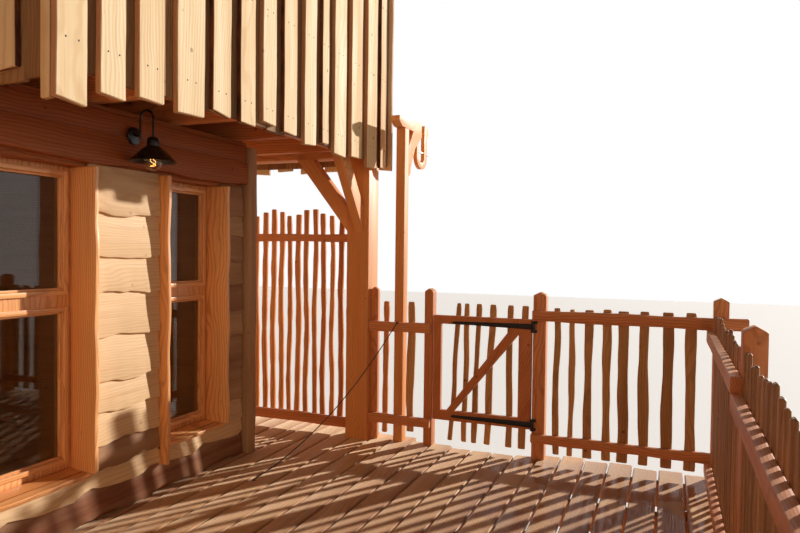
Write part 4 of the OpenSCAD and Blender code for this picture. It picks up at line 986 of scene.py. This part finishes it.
# the end wall of the overhang, from its corner inwards
end_wall = np.array([(0.033, 0.050, -0.082, 0), (0.215, 0.150, 0.045, 1), (0.430, 0.150, 0.040, 0),
                     (0.630, 0.065, 0.055, 0)])
end_corner = over_x + clad_t
clad("cladding_of_bay_end", ((end_corner, bay_y, 0), -X, -Y), (0.034, end_corner - wall_x - 0.073), clad_low,
     lambda at: roof_line(end_corner - at), end_wall.T + np.array([0, 0, clad_low, 0])[:, None], 64,
     "side_cladding")
run = bay_y - clad_t - 0.002 - (near_y - clad_in)
clad("cladding_of_near_run", ((wall_x, near_y - clad_in + run, 0), -Y, X), (0.002, run - 0.002),
     soffit_z + 0.065,
     level(roof_line(wall_x + clad_t)), row(0.002, run - 0.002, soffit_z + 0.035, 66), 67, "side_cladding")
run = far_corner - near_y + clad_in
rest = row(near_edge[-1] + 0.090, run - 0.002, soffit_z + 0.035, 70)
clad("cladding_of_back", ((back_x, far_corner, 0), -Y, -X), (0.002, run - 0.002), soffit_z + 0.115,
     level(eave_z - 0.030),
     np.hstack([(near_edge - width, width, soffit_z + 0.065 + above / 3, bark), rest]), 71,
     "side_cladding")


# %% [markdown]
# A gable is clad in four stretches round its window, up to the slope of the roof. A boolean could
# cut the upper ends, but a slanted end costs no faces.

# %% Cladding of the gables


def gable(end, y, out, side_x, low, seed):
    """A gable in four stretches: beside its window on the left, under it, over it, and on the right."""
    beside, middle, width = 0.448, half_span, side_x - back_x
    roof = lambda at: roof_line(back_x + at)
    for k, (begin, stop, z, top) in enumerate((
            (0, middle - beside, low, roof), (middle - beside, middle + beside, low, level(gable_z - 0.015)),
            (middle - beside, middle + beside, gable_z + 1.035, roof), (middle + beside, width, low, roof))):
        ends = begin - clad_t * (k == 0), stop + clad_t * (k == 3)
        covers = row(*ends, z - 0.030 * (k != 2), seed + k)
        if k == 2:
            covers[2] = z
        clad(f"cladding_{end}_gable_{k}", ((back_x, y, 0), X, out), (begin, stop), z, top, covers, seed + 5 * k,
             "gable_cladding")


gable("far", over_y, Y, over_x, soffit_z - 0.035, 81)
gable("near", near_y, -Y, wall_x, soffit_z + 0.065, 91)

# %% [markdown]
# Plain boards frame the gable windows, where the cladding stops.

# %% Gable window trim
trims = []
for y, out in ((over_y + 0.028, Y), (near_y - 0.028, -Y)):
    for side in (-1, 1):
        x = ridge_x + side * 0.415
        trims.append(((x, y, gable_z - 0.032), (x, y, gable_z + 1.032), out))
    for z in (gable_z - 0.007, gable_z + 1.007):
        trims.append(((ridge_x - 0.38, y, z), (ridge_x + 0.38, y, z), out))
start, end, face = (np.array(v) for v in zip(*trims))
trim = timbers("gable_window_trim", start, end, face, 0.025, 0.025, 0.026, 0.026, seed=95)
hand_in(trim, frame_larch)

# %% [markdown]
# The roof is lapped boards on laths: every course is one run of boards along the eaves, and the
# lowest course lies flattest. Under them the sarking shows at the eaves.

# %% Roof boards
rafter_top = top_z + 0.140 / math.cos(roof_angle)
lath = 0.030 / math.cos(roof_angle)
reach = half_span + clad_t + 0.300
course, lap = 0.215, 0.038
roof_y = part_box("roof_covering")[0][1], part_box("roof_covering")[1][1]


def on_roof(side, out, above):
    """A point of the roof: out from the ridge, and above the line of the rafters' tops."""
    return np.array([ridge_x + side * out, 0.0, rafter_top - out * slope + above])


def runs_of_boards(name, lines, thick, seed, wave=0.002, stops=()):
    """Boards along the whole roof, each between two points of its cross-section, the upper edge
    first; stops are the shares of the roof's length where they are joined."""
    a, b = (np.array(v) for v in zip(*lines))
    normal = np.cross(b - a, Y)
    normal *= np.sign(normal[:, 2:]) / np.linalg.norm(normal, axis=1, keepdims=True)
    cuts = np.concatenate([[0], stops, [1]])
    y0, y1 = (roof_y[0] + (roof_y[1] - roof_y[0]) * np.tile(v, len(a)) for v in (cuts[:-1], cuts[1:]))
    a, b, normal = (np.repeat(v, len(cuts) - 1, 0) for v in (a, b, normal))
    half = np.linalg.norm(b - a, axis=1)[:, None] / 2 - 0.002
    start = (a + b) / 2 + np.outer(y0 + 0.001, Y)
    end = (a + b) / 2 + np.outer(y1 - 0.002, Y)
    edges = [half - 0.001 + wander(len(a), 30, 6.5 / (len(cuts) - 1), wave, 0.8, seed=seed + k) for k in (0, 1)]
    return timbers(name, start, end, normal, *edges, 0.0, thick, steps=1, stations=30, seed=seed)


courses = [(side, max(0.002, i * course), min(reach, (i + 1) * course))
           for side in (-1, 1) for i in range(math.ceil(reach / course))]
roof = runs_of_boards("roof_boards_lapped",
                      [(on_roof(side, a, lath + 0.014), on_roof(side, b, lath + 0.014 + lap))
                                             for side, a, b in courses], 0.020, 101, stops=(0.47,))
hand_in(roof, roof_larch, ["roof_covering"])
laths = runs_of_boards("roof_laths", [(on_roof(side, b - 0.050, 0.054), on_roof(side, b - 0.005, 0.060))
                                      for side, a, b in courses], 0.024, 102, wave=0.0)
hand_in(laths, beam_larch)
sixteenths = np.linspace(0.002, reach, 17)
sarking = runs_of_boards("sarking_boards", [(on_roof(side, a, 0.026), on_roof(side, b, 0.026))
                                            for side in (-1, 1)
                                            for a, b in zip(sixteenths[:-1], sixteenths[1:])],
                         0.018, 103, wave=0.0)
hand_in(sarking, beam_larch)
cap_out = 0.190
cap_above = lath + 0.014 + lap * cap_out / course + 0.030
cap = runs_of_boards("ridge_boards", [(on_roof(side, 0.0, cap_above), on_roof(side, cap_out, cap_above))
                                      for side in (-1, 1)], 0.022, 105, wave=0.0005)
hand_in(cap, roof_larch, ["ridge_cap"])

# %% [markdown]
# Fences and the lattice are made of thinnings and offcuts: debarked sticks as thick as a wrist for
# the gallery's lattice, and flat waney pales nailed to planed rails for the terrace. A stick is a
# timber whose four corner arcs meet, on a line that wanders; a pale has wavy sides and a flat head
# with its corners rubbed off.

# %% Sticks and pales


def sticks(name, feet, heads, radius, seed, sway=0.006):
    """Round sticks from feet to heads (n, 3). Each leans by up to 8 mm along X, and its radius is its
    own by a tenth and wanders on the way."""
    n, high = len(feet), heads[:, 2] - feet[:, 2]
    own = np.random.default_rng(seed)
    heads = heads + own.uniform(-0.008, 0.008, (n, 1)) * X
    bend = np.stack([wander(n, 22, high, k, 1.3, 0.35, seed=seed + 1) for k in (sway, sway / 2)], -1)
    thick = radius * own.uniform(0.9, 1.1, (n, 1)) + wander(n, 22, high, 0.0016, 0.35, 0.6, seed=seed + 2)
    return timbers(name, feet, heads, Y, *[thick] * 4, corner=1.0, steps=3, stations=22, bend=bend, seed=seed)


def pales(name, feet, heads, face, widths, seed, thick=0.021, swing=0.005, sway=0.004):
    """Flat pales from feet to heads (n, 3), with face as the side they show. Their width wanders by
    swing, and at the head it shrinks by about an eighth on a quarter arc 14 mm long."""
    n, m = len(feet), 26
    length = np.linalg.norm(heads - feet, axis=1)
    own = np.random.default_rng(seed)
    round_off = own.uniform(0.4, 1.4, (n, 1)) * 0.12
    near = np.clip(1 - length[:, None] * np.linspace(1, 0, m) / 0.014, 0, 1)
    arc = 1 - round_off * (1 - np.sqrt(1 - near ** 2))
    half = np.reshape(widths, (-1, 1)) / 2
    sides = [(half - swing * 0.4 + wander(n, m, length, swing, 0.8, 0.35, seed=seed + k)) * arc for k in (0, 1)]
    bend = np.stack([wander(n, m, length, sway, 1.2, 0.3, seed=seed + 3), np.zeros((n, m))], -1)
    return timbers(name, feet, heads, face, *sides, 0.0, thick, corner=0.006, stations=m, bend=bend, seed=seed)


def rails(name, starts, ends, face, high, deep, seed):
    """Rails from starts to ends, high across and deep through, with edges that wander by 3 mm."""
    swing, length = 0.003, np.linalg.norm(ends - starts, axis=1)
    edges = [np.reshape(high, (-1, 1)) / 2 - swing * 0.3
             + wander(len(starts), 30, length, swing, 0.8, 0.4, seed=seed + k) for k in (0, 1)]
    through = deep / 2 - 0.001
    return timbers(name, starts, ends, face, *edges, through, through, corner=0.006, stations=30, seed=seed)


# %% [markdown]
# The lattice closes the gallery with upright sticks 82 mm apart, nailed behind two rails, with heads
# at different heights. They could be copies of one stick, but low light shows up a copy at once, so
# each one leans and swells by itself.

# %% Gallery lattice
lattice_y, stick_pitch = fence_y + 0.065, 0.082
first_x, last_x = back_x + 0.190, over_x - 0.190
i = np.arange(math.floor((last_x - first_x - 0.060) / stick_pitch) + 1)
feet = spots(first_x + 0.045 + i * stick_pitch, lattice_y + 0.036, deck_z + 0.060)
lattice = sticks("lattice_sticks", feet, feet + np.outer(1.755 + 0.030 * np.sin(np.radians(i * 79)), up),
                 0.0215, 201)
hand_in(lattice, stick_larch, ["gallery_lattice"])
# the lower rail falls by 14 mm towards the terrace
lattice_rails = rails("lattice_rails", spots(first_x, lattice_y, deck_z + np.array([0.097, 1.600])),
                      spots(last_x, lattice_y, deck_z + np.array([0.083, 1.600])), -Y, [0.083, 0.065], 0.040,
                      211)
hand_in(lattice_rails, rail_larch)

# %% [markdown]
# Between the corner and the gate the fence is two rails with one stick and one pale.

# %% Short fence beside the gate
(gate_x0, _, _), (gate_x1, gate_y, _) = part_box("gate_frame")
gate_left, gate_right = gate_x0 - 0.009, gate_x1 + 0.008
rail_y, rail_t = fence_y - 0.0225, 0.045
levels = deck_z + np.array([0.177, 0.906])
short_rails = rails("short_fence_rails", spots(over_x, rail_y, levels),
                    spots(gate_left - 0.007, rail_y, levels), -Y, [0.074, 0.078], rail_t, 221)
hand_in(short_rails, rail_larch, ["short_fence"])
foot = spots(over_x + 0.127, fence_y + 0.020, deck_z + 0.060)
short_stick = sticks("short_fence_stick", foot, foot + 1.040 * up, 0.022, 225, sway=0.003)
hand_in(short_stick, stick_larch)
foot = spots(gate_left - 0.181, fence_y + 0.0005, deck_z + 0.088)
short_pale = pales("short_fence_pale", foot, foot + (0.004, 0.0, 1.016), -Y, [0.066], 227)
hand_in(short_pale, pale_larch)

# %% [markdown]
# The railing beyond the gate shows eight pales, no two alike, and their places and widths follow
# the picture.

# %% Back railing
levels, heights = deck_z + np.array([1.045, 0.1575]), [0.080, 0.065]
back_rails = rails("back_railing_rails", spots(gate_right, rail_y, levels),
                   spots([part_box("back_railing")[1][0], edge_x + 0.020], rail_y, levels), -Y, heights, rail_t,
                   231)
hand_in(back_rails, rail_larch, ["back_railing"])
places = np.array([170, 274, 390, 518, 626, 760, 910, 1053]) / 1000
widths = np.array([49, 45, 61, 60, 75, 71, 75, 70]) / 1000
own = np.random.default_rng(232)
feet = spots(gate_right + places, fence_y + 0.0005, deck_z + 0.050)
heads = feet + spots(own.uniform(-0.010, 0.010, 8), 0, own.uniform(1.045, 1.061, 8))
back_pales = pales("back_railing_pales", feet, heads, -Y, widths, 233)
hand_in(back_pales, pale_larch)

# %% [markdown]
# The right railing is three bays between posts. Its pales are nailed outside the rails, lean along
# it and end at different heights, and its far bay stands 65 mm higher than the others.

# %% Right railing
side_posts_y = [fence_y - 1.8 * k for k in (1, 2, 3)]
post_s, side_rail = 0.092, 1.005
rail_starts, rail_ends, feet, heads, widths = [], [], [], [], []
for bay, post_y in enumerate(side_posts_y):
    y0 = post_y + post_s
    y1 = fence_y - rail_t if bay == 0 else side_posts_y[bay - 1]
    rail = side_rail - (0.0 if bay == 0 else 0.065)
    for z in (rail - 0.0375, 0.105):
        rail_starts.append((edge_x - rail_t / 2, post_y, deck_z + z))
        rail_ends.append((edge_x - rail_t / 2, y1, deck_z + z))
    n = math.floor((y1 - y0) / 0.103)
    y = y0 + (y1 - y0) * (np.arange(n) + 0.5) / n + own.uniform(-0.008, 0.008, n)
    feet.append(spots(edge_x + 0.0005, y, deck_z - 0.030))
    heads.append(feet[-1] + spots(0, own.uniform(-0.010, 0.010, n), 1.140 + own.uniform(-0.020, 0.020, n)))
    widths.append(own.uniform(0.038, 0.056, n))
side_rails = rails("right_railing_rails", np.array(rail_starts), np.array(rail_ends), -X, [0.075, 0.070] * 3,
                   rail_t, 241)
hand_in(side_rails, rail_larch, ["right_railing"])
side_pales = pales("right_railing_pales", np.concatenate(feet), np.concatenate(heads), -X,
                   np.concatenate(widths), 242, thick=0.017)
hand_in(side_pales, shaded_larch)

# %% [markdown]
# The near railing is out of the picture, and follows the others.

# %% Near railing
near_rail_y = side_posts_y[2] + 0.0425
near_start = wall_x + 0.080
near_rails = rails("near_railing_rails", spots(near_start, near_rail_y, levels),
                   spots(edge_x - rail_t, near_rail_y, levels), -Y, heights, rail_t, 251)
hand_in(near_rails, rail_larch, ["near_railing"])
n = math.floor((edge_x - rail_t - near_start) / 0.150)
feet = spots(near_start + 0.075 + 0.150 * np.arange(n), near_rail_y - rail_t / 2, deck_z + 0.040)
heads = feet + spots(own.uniform(-0.012, 0.012, n), 0, own.uniform(1.075, 1.095, n))
near_pales = pales("near_railing_pales", feet, heads, Y, own.uniform(0.052, 0.074, n), 252, thick=0.020)
hand_in(near_pales, pale_larch)

# %% [markdown]
# The gate's six pales lean, each by its own angle. They ride on the gate's body and turn with it.

# %% Gate pales
# how far the foot and the head of each pale are from the free stile's edge, and its width
foot, head, width = np.array([(129, 188, 40), (240, 251, 44), (314, 344, 44), (416, 451, 54), (582, 584, 50),
                              (682, 696, 52)]).T / 1000
gate_pales = pales("gate_pales_worn", spots(gate_x0 + foot, gate_y + 0.0005, deck_z + 0.047),
                   spots(gate_x0 + head, gate_y + 0.0005, deck_z + 1.106), -Y, width, 262, swing=0.004,
                   sway=0.003)
hand_in(gate_pales, pale_larch, ["gate_pales"], "gate")

# %% [markdown]
# A barn lamp hangs on a gooseneck from the header: a spun shade in black enamel and a clear bulb
# whose filament glows. The shade, the wall plate and the bulb are profiles turned about an axis.

# %% Turned pieces


def turned(name, profile, centre, axis, sides=64, crease=35.0):
    """A surface of revolution: the closed profile of (radius, height) pairs goes round the axis
    through centre. Where the radius is zero, the ring is a pole and its points are merged."""
    side = np.cross(axis, up if abs(axis[2]) < 0.9 else X)
    side /= np.linalg.norm(side)
    other = np.cross(axis, side)
    r, h = np.array(profile, float).T
    angle = np.linspace(0, 2 * np.pi, sides, endpoint=False)
    ring = np.cos(angle)[:, None] * side + np.sin(angle)[:, None] * other
    points = np.asarray(centre) + h[:, None, None] * axis + r[:, None, None] * ring[None]
    n = len(r)
    i, k = np.meshgrid(np.arange(n), np.arange(sides), indexing="ij")
    j = (i + 1) % n
    a, b = i * sides + k, i * sides + (k + 1) % sides
    c, d = j * sides + (k + 1) % sides, j * sides + k
    keep = ~((r[i] < 1e-9) & (r[j] < 1e-9))
    piece = put(name, points.reshape(-1, 3), [np.stack([a, b, c, d], -1)[keep]], crease=crease)
    grid = bmesh.new()
    grid.from_mesh(piece.data)
    bmesh.ops.remove_doubles(grid, verts=grid.verts, dist=1e-6)
    bmesh.ops.dissolve_degenerate(grid, edges=grid.edges, dist=1e-7)
    bmesh.ops.recalc_face_normals(grid, faces=grid.faces)
    grid.to_mesh(piece.data)
    grid.free()
    return piece


# %% [markdown]
# The plate stands on the header. The neck is a tube whose route goes out, up, round a half circle and
# down to the socket. A spun shade is thin sheet, so its profile has both faces, 2 mm apart.

# %% Wall lamp
lamp_x, lamp_y, lamp_z = wall_x + 0.070, far_y - 1.178, deck_z + 2.135
axis_x, rim_z, arch = lamp_x + 0.140, lamp_z - 0.152, 0.046
rim_middle = (axis_x, lamp_y, rim_z)
plate = turned("lamp_plate", [(0, 0), (0.051, 0), (0.051, 0.005), (0.049, 0.009), (0.044, 0.011),
                              (0.036, 0.012),
                              (0.020, 0.014), (0.011, 0.017), (0, 0.018)], (lamp_x, lamp_y, lamp_z), X)
hand_in(plate, lamp_enamel, ["wall_lamp"])
bow = np.linspace(np.pi, 0, 25)
neck_route = np.concatenate([
    [(lamp_x + 0.010, lamp_y, lamp_z), (axis_x - 2 * arch - 0.012, lamp_y, lamp_z)],
    [(axis_x - 2 * arch - 0.003, lamp_y, lamp_z + 0.003), (axis_x - 2 * arch, lamp_y, lamp_z + 0.012)],
    spots(axis_x - arch + arch * np.cos(bow), lamp_y, lamp_z + 0.094 + arch * np.sin(bow)),
    [(axis_x, lamp_y, rim_z + 0.136)]])
neck = tube("lamp_neck", spread(neck_route, 90), 0.006, 16)
hand_in(neck, lamp_enamel)
shade = turned("lamp_shade", [
    (0.000, 0.142), (0.013, 0.142), (0.026, 0.136), (0.0315, 0.128), (0.0325, 0.108), (0.033, 0.088),
    (0.037, 0.086),
    (0.052, 0.076), (0.074, 0.056), (0.096, 0.034), (0.114, 0.014), (0.1265, 0.0035), (0.128, 0.0005),
    (0.127, 0.000), (0.125, 0.001), (0.112, 0.0125), (0.094, 0.0325), (0.072, 0.0545), (0.050, 0.0745),
    (0.036, 0.0845), (0.0315, 0.086), (0.031, 0.108), (0.030, 0.126), (0.018, 0.132), (0.017, 0.100),
    (0.0, 0.100)], rim_middle, up, 72)
hand_in(shade, lamp_enamel)
# %% [markdown]
# The bulb is a clear globe, 100 mm across, on a straight neck. Its wall has both faces too, so that
# light bends in it and leaves it again. The filament is one thin tube that winds about inside.

# %% Bulb and filament
swell = np.radians(np.arange(62, -91, -8))
outer = np.column_stack([0.050 * np.cos(swell), 0.050 * np.sin(swell)])
outer[-1, 0] = 0.0
profile = np.concatenate([[(0.0145, 0.096), (0.0150, 0.080), (0.0165, 0.062)], outer[1:],
                          (outer[1:] * 0.976)[::-1], [(0.0150, 0.062), (0.0138, 0.080), (0.0133, 0.096)]])
bulb = turned("bulb_shell", profile, rim_middle, up, 48, 60.0)
hand_in(bulb, bulb_clear, ["lamp_bulb"])
round_bulb = np.linspace(0, 2 * np.pi, 60)
coil = spots(axis_x + 0.016 * np.sin(3 * round_bulb), lamp_y + 0.012 * np.cos(3 * round_bulb),
             rim_z + 0.004 + 0.030 * np.cos(round_bulb))
hand_in(tube("filament", spread(coil, 160), 0.0009, 6), filament)

# %% [markdown]
# Small iron: screws in the deck over each joist, nails in the cladding a hand above the boards'
# lower ends and again further up, and a handle on the entry door.

# %% Nails and screws


def studs(name, places, out, radius, finish, high=0.0015):
    """Nail heads at places (n, 3): a low dome of two rings of eight and a top, standing out by high."""
    side = np.cross(out, X if abs(out[2]) > 0.9 else up)
    angle = np.linspace(0, 2 * np.pi, 8, endpoint=False)[:, None]
    ring = np.cos(angle) * side + np.sin(angle) * np.cross(out, side)
    layers = [places[:, None] + radius * k * ring + h * out
              for k, h in ((1, -0.003), (1, high * 0.4), (0.6, high))]
    base = np.arange(len(places))[:, None] * 24
    first, k = base[:, None] + np.array([[0], [8]]), np.arange(8)
    a, b = first + k, first + (k + 1) % 8
    quads = np.stack([a, b, b + 8, a + 8], -1).reshape(-1, 4)
    piece = put(name, np.stack(layers, 1).reshape(-1, 3), [quads, base + 16 + k, base + k[::-1]])
    hand_in(piece, finish)


joist_y = near_y + np.arange(9) * (fence_y - 0.070 - near_y) / 9 + 0.035
board_x = edge_x - np.arange(20) * pitch
xs, ys = np.meshgrid(np.concatenate([board_x - 0.030, board_x - pitch + gap + 0.030]), joist_y)
screws = spots(xs.ravel(), ys.ravel(), deck_z - 0.0002)
studs("deck_screws", screws[screws[:, 0] > wall_x + 0.01], up, 0.0045, zinc_steel, 0.0004)
mid_y = far_corner - near_edge + gate_end[:, 1] / 2
ys, zs = np.meshgrid(np.concatenate([mid_y - 0.03, mid_y + 0.03]),
                     soffit_z + np.array([0.060, 0.620, 1.180, 1.740]))
studs("cladding_nails", spots(over_x + clad_t, ys.ravel(), zs.ravel()), X, 0.0042, forged_iron)

# %% [markdown]
# The entry door's handle is a bow, forged from one round rod 16 mm thick.

# %% Door handle
half_turn = np.radians(np.linspace(0, 180, 41))
grip = spots(wall_x - 0.061 + 0.050 * np.sin(half_turn), door_y + 0.085,
             deck_z + 1.00 - 0.080 * np.cos(half_turn))
hand_in(tube("door_handle", spread(grip, 41), 0.008, 12), forged_iron)

# %% [markdown]
# The house stands in a studio: a pale floor, a white surround that only the camera and reflections
# see, and soft light. The picture was taken in a low sun from behind the hoist, a little from the
# open side, which draws the fence as stripes on the deck. A sun lamp does the same here. The sides
# towards the viewer are lit by what comes back from all that the sun reaches in front of them, so a
# second, very broad lamp comes in low from behind the viewer. A ring of pale light round the horizon
# fills the rest.

# %% Floor
bpy.ops.mesh.primitive_plane_add(size=120.0, location=(0.0, 0.0, -0.002))
floor = bpy.context.object
floor.name = "studio_floor"
paper, paper_tree, paper_shader = fresh("pale_paper")
hold(paper_shader, {"Base Color": paint("#F2F1EE"), "Roughness": 0.9})
floor.data.materials.append(paper)


def by_ray(tree, lights, shows):
    """Ends a tree in two shaders: what light meets, and what the camera, reflections and glass see."""
    path = add(tree, "ShaderNodeLightPath").outputs
    seen = maths(tree, "MAXIMUM", maths(tree, "MAXIMUM", path["Is Camera Ray"], path["Is Glossy Ray"]),
                 path["Is Transmission Ray"])
    either = add(tree, "ShaderNodeMixShader", None, {0: seen, 1: lights.outputs[0], 2: shows.outputs[0]})
    out = next(n for n in tree.nodes if n.type.startswith("OUTPUT"))
    tree.links.new(either.outputs[0], out.inputs["Surface"])


# the floor is seen a little paler than it is lit
glow = add(paper_tree, "ShaderNodeEmission", None, {"Color": (1, 1, 1, 1), "Strength": 0.3})
by_ray(paper_tree, paper_shader,
       add(paper_tree, "ShaderNodeAddShader", None, {0: paper_shader.outputs[0], 1: glow.outputs[0]}))

# %% [markdown]
# The camera sees plain white air, while the light comes from near the horizon, as it does inside a
# ring of lit screens: walls are lit from it more than the deck is. A picture of a sky could light the
# house too, but it would bring its own surroundings.

# %% World
world = bpy.data.worlds.new("studio_air")
bpy.context.scene.world = world
world.use_nodes = True
sky = world.node_tree
# full strength up to 6 degrees above the horizon, and dim above 20
towards = add(sky, "ShaderNodeTexCoord").outputs["Generated"]
upward = add(sky, "ShaderNodeSeparateXYZ", None, {0: towards}).outputs["Z"]
strength = ramp(sky, upward, math.sin(math.radians(6)), math.sin(math.radians(20)), 0.4, 0.015)
by_ray(sky, add(sky, "ShaderNodeBackground", None, {"Color": paint("#F2DCCA"), "Strength": strength}),
       add(sky, "ShaderNodeBackground", None, {"Color": (1, 1, 1, 1), "Strength": 1.0}))

# %% [markdown]
# Two sun lamps: a sharp one for the low sun, and a very wide one for the light that comes back.

# %% Sun


def far_lamp(name, azimuth, height, energy, spread_angle, colour):
    """A sun lamp from azimuth, counted from +Y towards +X, and height above the horizon, in degrees."""
    data = bpy.data.lights.new(name, "SUN")
    data.energy, data.angle, data.color = energy, math.radians(spread_angle), paint(colour)[:3]
    lamp = bpy.data.objects.new(name, data)
    bpy.context.scene.collection.objects.link(lamp)
    a, h = math.radians(azimuth), math.radians(height)
    towards = Vector((math.sin(a) * math.cos(h), math.cos(a) * math.cos(h), math.sin(h)))
    lamp.rotation_euler = towards.to_track_quat("Z", "Y").to_euler()
    print(name, "from", tuple(round(v, 3) for v in towards))


far_lamp("low_sun", 31.3, 16.0, 5.2, 1.2, "#FFF6EC")
far_lamp("ground_glow", 150, 1, 0.65, 50, "#FFD6A8")

# %% [markdown]
# The Standard view shows colours as they are worked out, without a film's curve.

# %% Picture settings
bpy.context.scene.view_settings.view_transform = "Standard"
